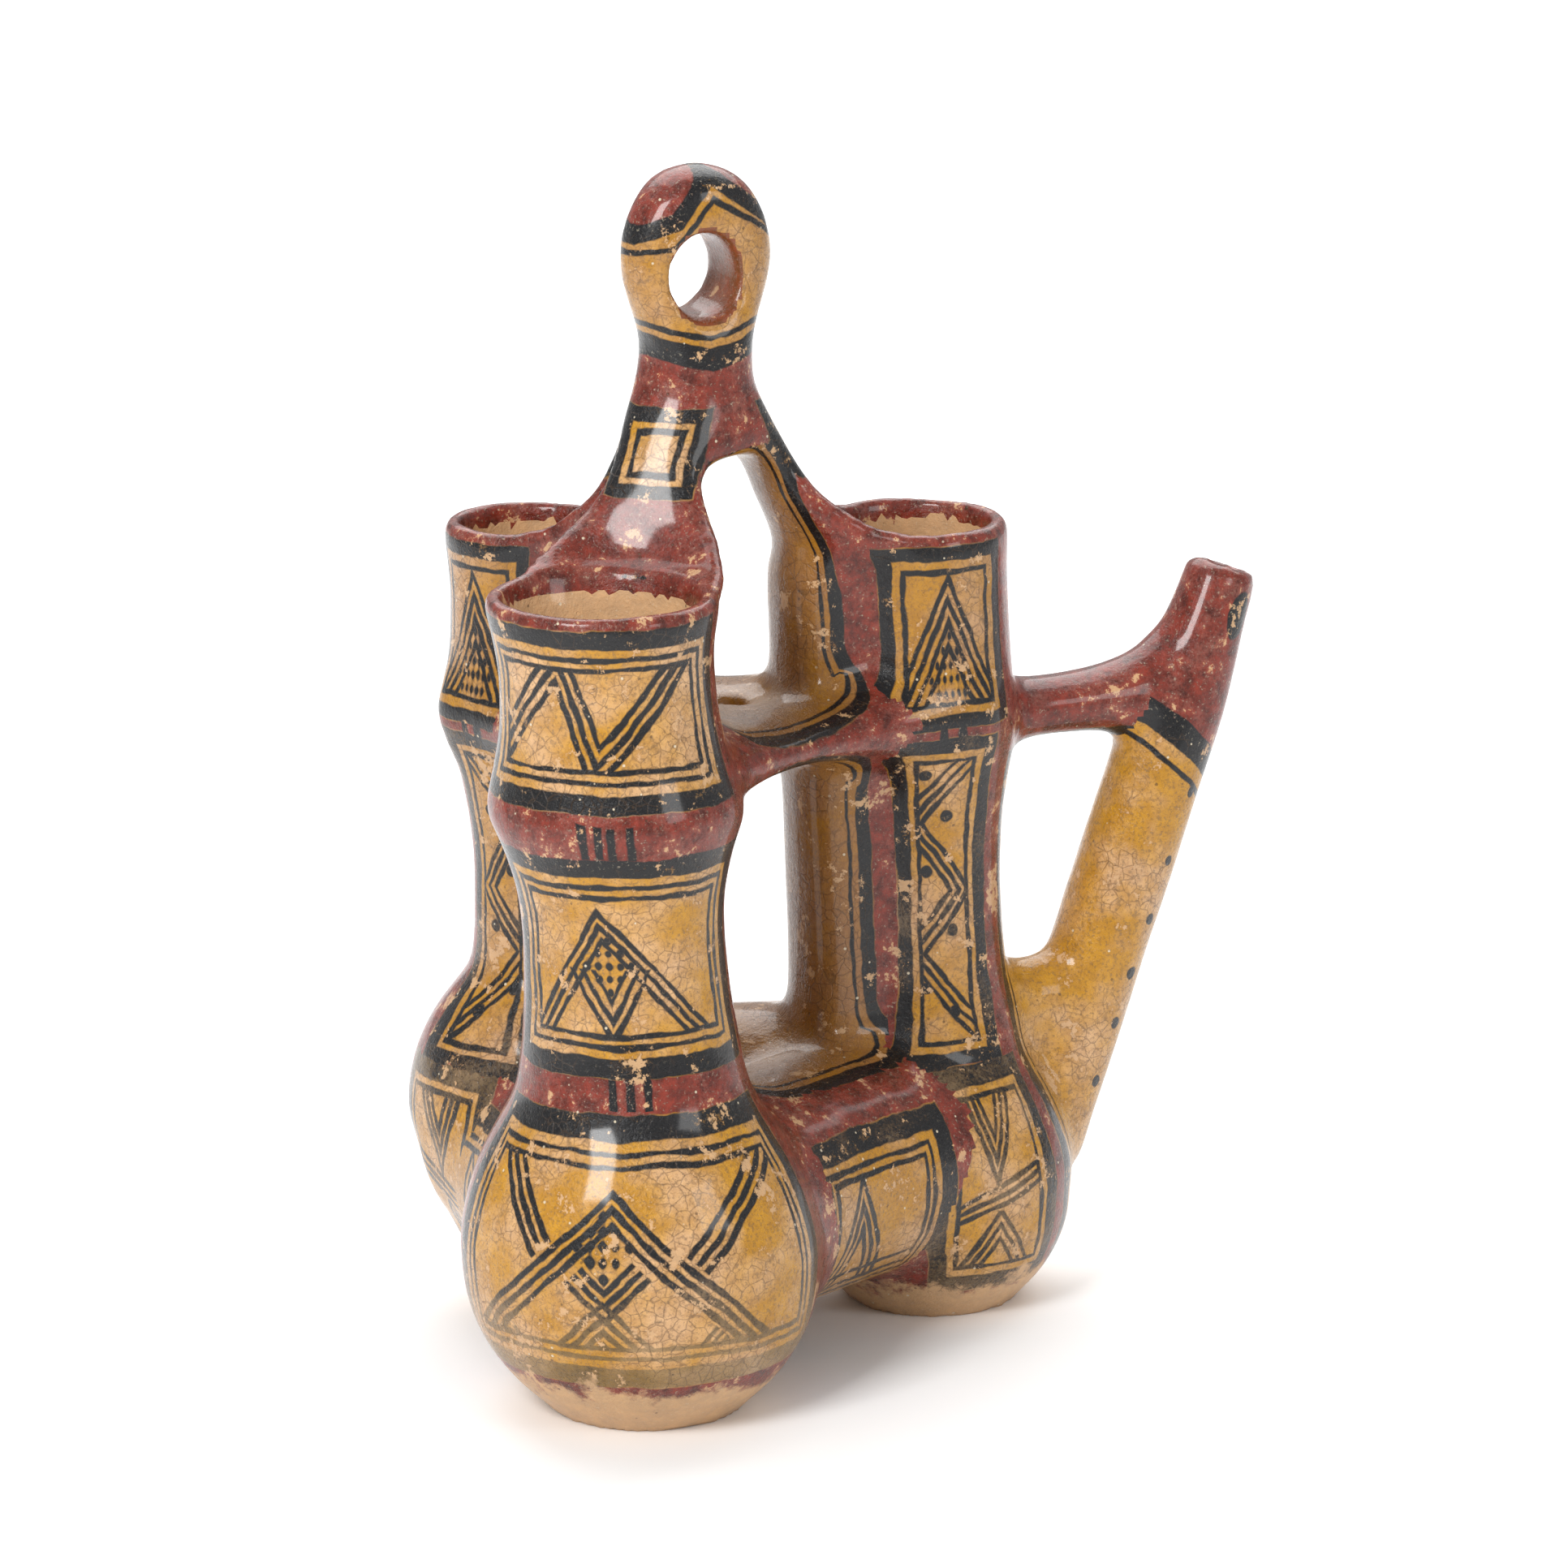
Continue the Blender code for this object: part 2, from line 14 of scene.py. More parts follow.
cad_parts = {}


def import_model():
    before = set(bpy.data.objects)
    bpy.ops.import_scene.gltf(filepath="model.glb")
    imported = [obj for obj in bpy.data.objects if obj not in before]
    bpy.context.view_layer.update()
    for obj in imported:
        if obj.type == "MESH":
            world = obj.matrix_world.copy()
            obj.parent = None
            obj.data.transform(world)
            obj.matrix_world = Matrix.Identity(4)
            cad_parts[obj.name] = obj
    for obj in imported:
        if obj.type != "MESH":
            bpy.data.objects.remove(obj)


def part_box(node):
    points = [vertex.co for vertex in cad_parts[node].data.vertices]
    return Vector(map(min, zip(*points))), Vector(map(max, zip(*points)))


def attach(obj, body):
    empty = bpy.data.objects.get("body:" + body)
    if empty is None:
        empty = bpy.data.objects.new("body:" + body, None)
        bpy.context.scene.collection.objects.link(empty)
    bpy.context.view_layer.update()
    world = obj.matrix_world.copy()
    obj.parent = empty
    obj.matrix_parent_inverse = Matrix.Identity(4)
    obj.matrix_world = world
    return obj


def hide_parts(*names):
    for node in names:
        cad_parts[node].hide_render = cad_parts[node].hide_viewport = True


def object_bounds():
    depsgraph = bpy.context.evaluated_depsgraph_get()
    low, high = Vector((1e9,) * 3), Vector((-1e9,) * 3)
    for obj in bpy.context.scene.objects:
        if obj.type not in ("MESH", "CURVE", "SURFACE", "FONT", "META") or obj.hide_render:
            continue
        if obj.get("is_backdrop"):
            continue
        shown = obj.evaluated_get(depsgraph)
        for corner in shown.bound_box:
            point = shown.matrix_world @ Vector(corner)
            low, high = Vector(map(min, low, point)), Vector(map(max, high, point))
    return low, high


log = logging.getLogger("triple_vessel")

UP = Vector((0.0, 0.0, 1.0))
EAST = Vector((1.0, 0.0, 0.0))
NORTH = Vector((0.0, 1.0, 0.0))
MM = 0.001

# Camera side of the vessel, as a bearing in degrees anticlockwise from +X seen from above.
FRONT_SIDE = -117.0

# Points round a jar, round a strap or tie, and round a small hole.
JAR_SEGMENTS = 64
STRAP_SEGMENTS = 48
BORE_SEGMENTS = 32

# Heights in millimetres below and above everything, for paint that nothing cuts off.
LOWEST = -1000.0
HIGHEST = 1000.0

Loop = list[Vector]
Point = tuple[float, float]


def polar(bearing: float, reach: float, height: float = 0.0) -> Vector:
    """Find a point by bearing and reach from the vertical axis.

    Args:
        bearing: degrees anticlockwise from +X.
        reach: metres from the axis.
        height: metres above the ground.

    Returns:
        The point.
    """
    angle = math.radians(bearing)
    return Vector((reach * math.cos(angle), reach * math.sin(angle), height))


def ease(share: float) -> float:
    """Rise smoothly from 0 to 1."""
    return 0.5 - 0.5 * math.cos(math.pi * min(max(share, 0.0), 1.0))


def spread(low: float, high: float, count: int) -> list[float]:
    """Give evenly spaced values from low to high, both included."""
    return [low + (high - low) * index / (count - 1) for index in range(count)]


def closed_loft(name: str, loops: Sequence[Loop]) -> bpy.types.Object:
    """Skin a row of point loops and cap both ends.

    Args:
        name: name of the new object.
        loops: loops of equal length.

    Returns:
        The closed solid.
    """
    mesh = bpy.data.meshes.new(name)
    model = bmesh.new()
    rings = [[model.verts.new(point) for point in loop] for loop in loops]
    count = len(loops[0])
    for low, high in zip(rings, rings[1:]):
        for index in range(count):
            after = (index + 1) % count
            model.faces.new((low[index], low[after], high[after], high[index]))
    for ring in (rings[0], rings[-1]):
        model.faces.new(ring)
    bmesh.ops.recalc_face_normals(model, faces=model.faces)
    model.to_mesh(mesh)
    model.free()
    item = bpy.data.objects.new(name, mesh)
    bpy.context.scene.collection.objects.link(item)
    return item


def ring_points(centre: Vector, side: Vector, up: Vector, half_side: float, half_up: float,
                segments: int = JAR_SEGMENTS, power: float = 2.0) -> Loop:
    """Lay a closed loop around a centre.

    Args:
        centre: middle of the loop.
        side: first direction.
        up: second direction.
        half_side: half width along the first direction.
        half_up: half width along the second direction.
        segments: number of points.
        power: 2 for an ellipse, more for a squarer loop.

    Returns:
        The points.
    """
    points = []
    for index in range(segments):
        angle = 2.0 * math.pi * index / segments
        across = math.copysign(abs(math.cos(angle)) ** (2.0 / power), math.cos(angle))
        along = math.copysign(abs(math.sin(angle)) ** (2.0 / power), math.sin(angle))
        points.append(centre + side * (half_side * across) + up * (half_up * along))
    return points


def swept(name: str, stations: Sequence[tuple[Vector, float, float]], side: Vector,
          segments: int = STRAP_SEGMENTS) -> bpy.types.Object:
    """Sweep an ellipse along stations.

    Args:
        name: name of the new object.
        stations: centre, half width along side and half thickness at each place.
        side: direction of the width.
        segments: number of points around.

    Returns:
        The closed solid.
    """
    loops = []
    for index, (centre, half_side, half_up) in enumerate(stations):
        before = stations[max(index - 1, 0)][0]
        after = stations[min(index + 1, len(stations) - 1)][0]
        up = (after - before).cross(side).normalized()
        loops.append(ring_points(centre, side, up, half_side, half_up, segments))
    return closed_loft(name, loops)


@dataclass(frozen=True)
class Lean:
    """How the whole pot leans: towards one bearing, more with height."""

    bearing: float = 153.0
    curve: float = 1.4
    stem: float = 0.0025


@dataclass(frozen=True)
class Jar:
    """One gourd-shaped jar on a flat foot, with a ridge between waist and neck."""

    name: str
    bearing: float
    reach: float
    lean: float
    foot: float
    belly: float
    belly_height: float
    waist: float
    waist_height: float
    ridge: float
    ridge_height: float
    neck: float
    rim: float
    rim_height: float = 0.2455
    neck_height: float = 0.2190
    wall: float = 0.0055
    floor: float = 0.008
    foot_sink: float = 0.0044
    shoulder_share: float = 1.10
    shoulder_blend: float = 0.0090
    column_flare: float = 0.0050
    column_drop: float = 0.0500
    strap_rib_inset: float = 0.0067
    waist_rib_inset: float = 0.0085
    mouth_cut: tuple[float, float] = (0.25, 1.25)
    rings: int = 80
    hollow_rings: int = 40
    mouth_rings: int = 4
    whole: Lean = Lean()

    def axis(self, height: float) -> Vector:
        """Find the centre of the leaning jar.

        Args:
            height: metres above the ground.

        Returns:
            The point on its axis.
        """
        share = max(height / self.rim_height, 0.0) ** self.whole.curve
        lean = polar(self.whole.bearing, self.lean * share)
        return polar(self.bearing, self.reach, height) + lean

    def fullness(self) -> float:
        """Tell how round the belly is below its widest."""
        return 1.0 + (self.belly / self.belly_height) ** 3

    def radius(self, height: float) -> float:
        """Give the outer radius at a height.

        Args:
            height: metres above the ground.

        Returns:
            The radius: a round belly, two hollows that meet at the ridge, and a flared rim.
        """
        if height <= self.belly_height:
            drop = (self.belly_height - height) / self.belly_height
            return self.belly - (self.belly - self.foot) * drop ** self.fullness()
        if height <= self.waist_height:
            rise = min((height - self.belly_height) / (self.shoulder_share * self.belly), 1.0)
            dome = self.belly * math.sqrt(1.0 - rise * rise)
            fall = (self.waist_height - height) / self.column_drop
            column = self.waist + self.column_flare * fall ** 2
            blend = max(self.shoulder_blend - abs(dome - column), 0.0) / self.shoulder_blend
            return max(dome, column) + self.shoulder_blend * blend * blend / 4.0
        if height <= self.ridge_height:
            share = (height - self.waist_height) / (self.ridge_height - self.waist_height)
            return self.waist + (self.ridge - self.waist) * share ** 2
        if height <= self.neck_height:
            share = (self.neck_height - height) / (self.neck_height - self.ridge_height)
            return self.neck + (self.ridge - self.neck) * share ** 2
        share = min((height - self.neck_height) / (self.rim_height - self.neck_height), 1.0)
        return self.neck + (self.rim - self.neck) * share ** 2

    def inward(self) -> Vector:
        """Give the level direction from the jar to the middle of the pot."""
        return -polar(self.bearing, 1.0)

    def rib(self, height: float) -> float:
        """Find the middle of the rib under the strap.

        Args:
            height: metres above the ground.

        Returns:
            Its reach inward from the axis.
        """
        share = (height - self.waist_height) / (self.neck_height - self.waist_height)
        waist = self.waist + self.waist_rib_inset
        return waist + (self.neck + self.strap_rib_inset - waist) * ease(share)

    def clay(self) -> bpy.types.Object:
        """Build the jar as solid clay, sunk a little below its foot for a flat cut.

        Returns:
            The closed solid.
        """
        loops = []
        for height in spread(0.0, self.rim_height, self.rings):
            radius = self.radius(height)
            loops.append(ring_points(self.axis(height), EAST, NORTH, radius, radius))
        sunk = [point - UP * self.foot_sink for point in loops[0]]
        return closed_loft(self.name + "_clay", [sunk] + loops)

    def hollow(self, strap: "Strap") -> bpy.types.Object:
        """Build the inside of the jar, one wall in, open above the rim.

        Args:
            strap: the strap of this jar, whose swing the mouth follows.

        Returns:
            The solid to cut away.
        """
        loops = []
        for height in spread(self.floor, self.rim_height, self.hollow_rings):
            radius = self.radius(height) - self.wall
            if height < self.belly_height:
                drop = (self.belly_height - height) / (self.belly_height - self.floor)
                narrowing = (self.belly - self.foot) * drop ** self.fullness()
                radius = self.belly - self.wall - narrowing
            loops.append(ring_points(self.axis(height), EAST, NORTH, radius, radius))
        mouth = self.rim - self.wall
        for share in spread(*self.mouth_cut, self.mouth_rings):
            lift = strap.hood_height * share
            swing = strap.shift(self.rim_height + lift) - strap.shift(self.rim_height)
            centre = self.axis(self.rim_height + lift) + swing
            loops.append(ring_points(centre, EAST, NORTH, mouth, mouth))
        return closed_loft(self.name + "_hollow", loops)


@dataclass(frozen=True)
class Strap:
    """Rib up a jar's inward wall, spread as a hood round the mouth and drawn over to the stem."""

    jar: Jar
    root_height: float = 0.0510
    start_height: float = 0.2220
    top_height: float = 0.3080
    half_width: float = 0.0145
    half_thickness: float = 0.0062
    rib_half_thickness: float = 0.0080
    power: float = 2.6
    swing: float = 1.6
    hood_height: float = 0.0240
    hood_flare: float = 0.0125
    hood_taper: float = 1.3
    root_gain: float = 2.2
    filling_low: float = 0.0600
    filling_high: float = 0.2340
    filling_shift: float = -0.0010
    filling_half_width: float = 0.0180
    filling_half_thickness: float = 0.0125
    rings: int = 60
    filling_rings: int = 40

    def shift(self, height: float) -> Vector:
        """Tell how far the strap has swung from the jar to the stem.

        Args:
            height: metres above the ground.

        Returns:
            The swing as a level vector.
        """
        rise = max((height - self.start_height) / (self.top_height - self.start_height), 0.0)
        start = self.jar.axis(height) + self.jar.inward() * self.jar.rib(height)
        stem = polar(self.jar.whole.bearing, self.jar.whole.stem)
        return (stem + UP * height - start) * min(rise, 1.0) ** self.swing

    def centre(self, height: float) -> Vector:
        """Give the middle of the strap at a height."""
        rib = self.jar.inward() * self.jar.rib(height)
        return self.jar.axis(height) + rib + self.shift(height)

    def clay(self) -> bpy.types.Object:
        """Build the rib, hood and strap.

        Returns:
            The closed solid.
        """
        jar = self.jar
        inward = jar.inward()
        side = UP.cross(inward)
        lip = jar.rim - jar.wall * 0.5
        loops = []
        for height in spread(self.root_height, self.top_height, self.rings):
            centre = self.centre(height)
            up = (self.centre(height + MM) - centre).cross(side).normalized()
            gap = abs(height - jar.rim_height) / self.hood_flare
            hood = math.exp(-gap ** (self.hood_taper if height > jar.rim_height else 2.0))
            half_width = self.half_width + (lip - self.half_width) * hood
            below = ease((jar.rim_height - height) / (jar.rim_height - jar.neck_height))
            thickness_gain = self.rib_half_thickness - self.half_thickness
            half_thickness = self.half_thickness + thickness_gain * below
            rib = jar.rib(height)
            loop = []
            for point in ring_points(centre, side, up, half_width, half_thickness,
                                     STRAP_SEGMENTS, self.power):
                outward = max((centre - point).dot(inward), 0.0)
                point = point - inward * (outward * self.root_gain * below)
                across = (point - centre).dot(side)
                reach = rib + (lip - rib) * (across / lip) ** 2
                wrap = rib - math.sqrt(max(reach ** 2 - across ** 2, 0.0))
                loop.append(point - inward * (wrap * hood))
            loops.append(loop)
        return closed_loft(jar.name + "_strap", loops)

    def rib_filling(self) -> bpy.types.Object:
        """Build a fuller rib under the strap, which the smoothing of the ties wears back.

        Returns:
            The closed solid.
        """
        jar = self.jar
        inward = jar.inward()
        side = UP.cross(inward)
        loops = []
        for height in spread(self.filling_low, self.filling_high, self.filling_rings):
            centre = jar.axis(height) + inward * (jar.rib(height) + self.filling_shift)
            loops.append(ring_points(centre, side, inward, self.filling_half_width,
                                     self.filling_half_thickness, STRAP_SEGMENTS,
                                     self.power))
        return closed_loft(jar.name + "_rib", loops)


@dataclass(frozen=True)
class Web:
    """Level web between two ridges, deeper where it meets them."""

    one: Jar
    other: Jar
    height: float = 0.1872
    half_thickness: float = 0.0075
    half_width: float = 0.0190
    flare: float = 0.8
    deepening: float = 2.6
    rings: int = 21

    def clay(self) -> bpy.types.Object:
        """Build the web.

        Returns:
            The closed solid.
        """
        start = self.one.axis(self.height)
        end = self.other.axis(self.height)
        side = (end - start).cross(UP).normalized()
        stations = []
        for share in spread(0.0, 1.0, self.rings):
            nearness = (2.0 * share - 1.0) ** 2
            half_width = self.half_width * (1.0 + self.flare * nearness)
            half_height = self.half_thickness * (1.0 + self.deepening * nearness)
            stations.append((start.lerp(end, share), half_width, half_height))
        return swept("web_" + self.one.name, stations, side)


@dataclass(frozen=True)
class WebMiddle:
    """Cake of clay that fills the middle between the webs, with a small hole."""

    height: float = 0.1872
    half_thickness: float = 0.0075
    reach: float = 0.0300
    edge: float = 0.05
    hole_radius: float = 0.0050
    hole_flare: float = 0.15
    hole_x: float = 0.0117
    hole_y: float = 0.0075
    hole_stations: tuple[float, ...] = (-2.6, -1.0, 0.0, 1.0, 2.6)
    rings: int = 11

    def clay(self) -> bpy.types.Object:
        """Build the cake.

        Returns:
            The closed solid.
        """
        loops = []
        for share in spread(-1.0, 1.0, self.rings):
            radius = self.reach * math.sqrt(max(1.0 - share * share, self.edge))
            centre = UP * (self.height + self.half_thickness * share)
            loops.append(ring_points(centre, EAST, NORTH, radius, radius))
        return closed_loft("web_middle", loops)

    def hole(self) -> bpy.types.Object:
        """Build the hole's solid, to cut away.

        Returns:
            The closed solid.
        """
        loops = []
        for share in self.hole_stations:
            radius = self.hole_radius * (1.0 + self.hole_flare * share * share)
            height = self.height + self.half_thickness * share
            centre = Vector((self.hole_x, self.hole_y, height))
            loops.append(ring_points(centre, EAST, NORTH, radius, radius, BORE_SEGMENTS))
        return closed_loft("web_hole", loops)


@dataclass(frozen=True)
class Joint:
    """Thick hollow joint between two bellies, drawn in like a waist at its middle."""

    one: Jar
    other: Jar
    height: float = 0.0510
    half_height: float = 0.0360
    half_width: float = 0.0365
    end_share: float = 0.96
    curve: float = 1.6
    passage_radius: float = 0.0270
    rings: int = 25

    def ends(self) -> tuple[Vector, Vector]:
        """Give the two ends of the joint's middle line, on the axes of its jars."""
        return self.one.axis(self.height), self.other.axis(self.height)

    def clay(self) -> bpy.types.Object:
        """Build the joint as solid clay.

        Returns:
            The closed solid.
        """
        start, end = self.ends()
        side = (end - start).cross(UP).normalized()
        stations = []
        for share in spread(0.0, 1.0, self.rings):
            belly = (self.one if share < 0.5 else self.other).belly * self.end_share
            nearness = abs(2.0 * share - 1.0) ** self.curve
            half_width = self.half_width + (belly - self.half_width) * nearness
            stations.append((start.lerp(end, share), half_width, self.half_height))
        return swept("joint_" + self.one.name, stations, side)

    def passage(self) -> bpy.types.Object:
        """Build the round passage inside, to cut away.

        Returns:
            The closed solid.
        """
        start, end = self.ends()
        side = (end - start).cross(UP).normalized()
        radius = self.passage_radius
        stations = [(start, radius, radius), (end, radius, radius)]
        return swept("passage_" + self.one.name, stations, side)


@dataclass(frozen=True)
class Finial:
    """Egg-shaped ring on a round stem, above the middle where the straps meet."""

    foot: Vector
    top: float = 0.3590
    widest: float = 0.3310
    half_width: float = 0.0240
    half_thickness: float = 0.0122
    crown_fullness: float = 1.6
    crown_gap: float = 0.0004
    hole_x: float = -0.0020
    hole_height: float = 0.3265
    hole_half_width: float = 0.0104
    hole_half_height: float = 0.0123
    hole_flare: float = 0.25
    hole_straight: float = 0.6
    hole_stations: tuple[float, ...] = (-1.6, -1.0, -0.6, 0.6, 1.0, 1.6)
    stem_height: float = 0.3010
    stem_half_width: float = 0.0158
    stem_half_thickness: float = 0.0155
    root_height: float = 0.2720
    root_half_width: float = 0.0200
    power: float = 2.6
    rings: int = 48

    def section(self, height: float) -> tuple[float, float]:
        """Measure the stem and ring.

        Args:
            height: metres above the ground.

        Returns:
            Half width and half thickness.
        """
        width, thickness = self.stem_half_width, self.stem_half_thickness
        if height > self.widest:
            rise = (height - self.widest) / (self.top - self.widest)
            crown = math.sqrt(1.0 - rise * rise)
            full = min(1.0, self.crown_fullness * crown)
            return self.half_width * crown, self.half_thickness * full
        if height < self.stem_height:
            share = ((self.stem_height - height) / (self.stem_height - self.root_height)) ** 2
            goal = (self.root_half_width, self.root_half_width)
        else:
            share = ease((height - self.stem_height) / (self.widest - self.stem_height))
            goal = (self.half_width, self.half_thickness)
        return width + (goal[0] - width) * share, thickness + (goal[1] - thickness) * share

    def clay(self) -> bpy.types.Object:
        """Build stem and ring as a solid block.

        Returns:
            The closed solid.
        """
        loops = []
        for height in spread(self.root_height, self.top - self.crown_gap, self.rings):
            half_width, half_thickness = self.section(height)
            loops.append(ring_points(self.foot + UP * height, EAST, NORTH, half_width,
                                     half_thickness, power=self.power))
        return closed_loft("finial_clay", loops)

    def hole(self) -> bpy.types.Object:
        """Build the finger hole's solid, a little wider at its two mouths, to cut away.

        Returns:
            The closed solid.
        """
        centre = self.foot + Vector((self.hole_x, 0.0, self.hole_height))
        loops = []
        for share in self.hole_stations:
            flare = 1.0 + self.hole_flare * max(abs(share) - self.hole_straight, 0.0)
            middle = centre + NORTH * (self.half_thickness * share)
            loops.append(ring_points(middle, EAST, UP, self.hole_half_width * flare,
                                     self.hole_half_height * flare, STRAP_SEGMENTS))
        return closed_loft("ring_hole", loops)


@dataclass(frozen=True)
class Spout:
    """Straight spout from one belly, tied to that jar's ridge by a bridge."""

    jar: Jar
    foot_reach: float = 0.0348
    foot_height: float = 0.0400
    tip_reach: float = 0.1010
    tip_height: float = 0.2200
    tube_radius: float = 0.0152
    tip_radius: float = 0.0116
    bore_radius: float = 0.0085
    tip_bore_radius: float = 0.0050
    taper_start: float = 0.72
    bore_taper_start: float = 0.62
    bore_overrun: float = 1.06
    saddle_height: float = 0.0880
    saddle_half_height: float = 0.0150
    bridge_height: float = 0.1815
    bridge_half_height: float = 0.0100
    bridge_flare: float = 0.85
    tie_half_width: float = 0.0125
    tie_swell: float = 3.0
    rings: int = 40
    tie_rings: int = 15

    def line(self, share: float) -> Vector:
        """Find the middle line of the spout.

        Args:
            share: 0 at its foot and 1 at its tip.

        Returns:
            The point on the line.
        """
        reach = self.foot_reach + (self.tip_reach - self.foot_reach) * share
        height = self.foot_height + (self.tip_height - self.foot_height) * share
        return self.jar.axis(0.0) + Vector((reach, 0.0, height))

    def radius(self, share: float) -> float:
        """Give the outer radius, drawn in over the last part."""
        taper = ease((share - self.taper_start) / (1.0 - self.taper_start))
        return self.tube_radius + (self.tip_radius - self.tube_radius) * taper

    def clay(self) -> list[bpy.types.Object]:
        """Build the spout, its bridge and the saddle at its foot as solid clay.

        Returns:
            The three closed solids.
        """
        stations = [(self.line(share), self.radius(share), self.radius(share))
                    for share in spread(0.0, 1.0, self.rings)]
        return [swept("spout_clay", stations, NORTH),
                self.tie("bridge", self.bridge_height, self.bridge_half_height,
                         self.bridge_flare),
                self.tie("saddle", self.saddle_height, self.saddle_half_height, 0.0)]

    def tie(self, name: str, height: float, half_height: float,
            flare: float) -> bpy.types.Object:
        """Build a level tie from the jar's axis to the spout, deeper at both ends.

        Args:
            name: name of the tie.
            height: metres above the ground.
            half_height: half its depth in the middle.
            flare: how much deeper it is at its ends.

        Returns:
            The closed solid.
        """
        start = self.jar.axis(height)
        end = self.line((height - self.foot_height) / (self.tip_height - self.foot_height))
        end.y = start.y
        stations = []
        for share in spread(0.0, 1.0, self.tie_rings):
            swell = 1.0 + flare * (1.0 + share) * abs(2.0 * share - 1.0) ** self.tie_swell
            stations.append((start.lerp(end, share), self.tie_half_width, half_height * swell))
        return swept(name, stations, NORTH)

    def bore(self) -> bpy.types.Object:
        """Build the channel, from inside the belly out of the tip, to cut away.

        Returns:
            The closed solid.
        """
        stations = []
        for share in spread(0.0, self.bore_overrun, self.tie_rings):
            taper = ease((share - self.bore_taper_start) / (1.0 - self.bore_taper_start))
            radius = self.bore_radius + (self.tip_bore_radius - self.bore_radius) * taper
            stations.append((self.line(share), radius, radius))
        return swept("spout_bore", stations, NORTH, BORE_SEGMENTS)


FRONT = Jar(
    name="front", bearing=-131.6, reach=0.0693, lean=0.0120, foot=0.0285, belly=0.0530,
    belly_height=0.0470, waist=0.0296, waist_height=0.1460, ridge=0.0385, ridge_height=0.1810,
    neck=0.0315, rim=0.0352)
BACK = Jar(
    name="back", bearing=118.0, reach=0.0575, lean=0.0055, foot=0.0190, belly=0.0440,
    belly_height=0.0620, waist=0.0215, waist_height=0.1350, ridge=0.0305, ridge_height=0.1870,
    neck=0.0255, rim=0.0275)
SPOUTED = Jar(
    name="spouted", bearing=0.0, reach=0.0770, lean=0.0070, foot=0.0255, belly=0.0437,
    belly_height=0.0380, waist=0.0238, waist_height=0.1330, ridge=0.0310, ridge_height=0.1810,
    neck=0.0285, rim=0.0297)
JARS = (FRONT, BACK, SPOUTED)


# How far one smoothing step moves a point towards its neighbours.
SMOOTHING_FACTOR = 0.5


def settle(body: bpy.types.Object) -> None:
    """Apply an object's modifiers to its mesh.

    Args:
        body: the object, whose list of modifiers is emptied.
    """
    bpy.context.view_layer.update()
    view = body.evaluated_get(bpy.context.evaluated_depsgraph_get())
    mesh = bpy.data.meshes.new_from_object(view)
    body.modifiers.clear()
    body.data = mesh


def fused(name: str, solids: Sequence[bpy.types.Object], voxel: float,
          smoothing: int) -> bpy.types.Object:
    """Fuse solids into one skin and smooth its creases.

    Args:
        name: name of the new object.
        solids: closed solids, which are removed.
        voxel: fineness of the skin in metres.
        smoothing: how many smoothing steps.

    Returns:
        The fused solid.
    """
    model = bmesh.new()
    for solid in solids:
        model.from_mesh(solid.data)
        bpy.data.objects.remove(solid, do_unlink=True)
    mesh = bpy.data.meshes.new(name)
    model.to_mesh(mesh)
    model.free()
    body = bpy.data.objects.new(name, mesh)
    bpy.context.scene.collection.objects.link(body)
    reskin(body, voxel, smoothing)
    return body


def reskin(body: bpy.types.Object, voxel: float, smoothing: int) -> None:
    """Lay a new even skin over a solid and smooth it.

    Args:
        body: the solid.
        voxel: fineness of the skin in metres.
        smoothing: how many smoothing steps.
    """
    remesh = body.modifiers.new("clay_skin", "REMESH")
    remesh.mode = "VOXEL"
    remesh.voxel_size = voxel
    if smoothing:
        smooth = body.modifiers.new("smoothed_by_hand", "SMOOTH")
        smooth.factor = SMOOTHING_FACTOR
        smooth.iterations = smoothing
    settle(body)


def cut(body: bpy.types.Object, cutters: Sequence[bpy.types.Object]) -> None:
    """Cut each cutter out of the body and remove it.

    Args:
        body: the solid that is cut.
        cutters: closed solids, which are removed.
    """
    for cutter in cutters:
        step = body.modifiers.new(cutter.name, "BOOLEAN")
        step.operation = "DIFFERENCE"
        step.solver = "MANIFOLD"
        step.object = cutter
    settle(body)
    for cutter in cutters:
        bpy.data.objects.remove(cutter, do_unlink=True)


def linear(code: str) -> tuple[float, float, float, float]:
    """Turn an sRGB colour to linear, by the standard's own curve.

    Args:
        code: hex code of the colour.

    Returns:
        Linear red, green, blue and alpha.
    """
    parts = [int(code[place:place + 2], 16) / 255.0 for place in (1, 3, 5)]
    turned = [part / 12.92 if part <= 0.04045 else ((part + 0.055) / 1.055) ** 2.4
              for part in parts]
    return turned[0], turned[1], turned[2], 1.0


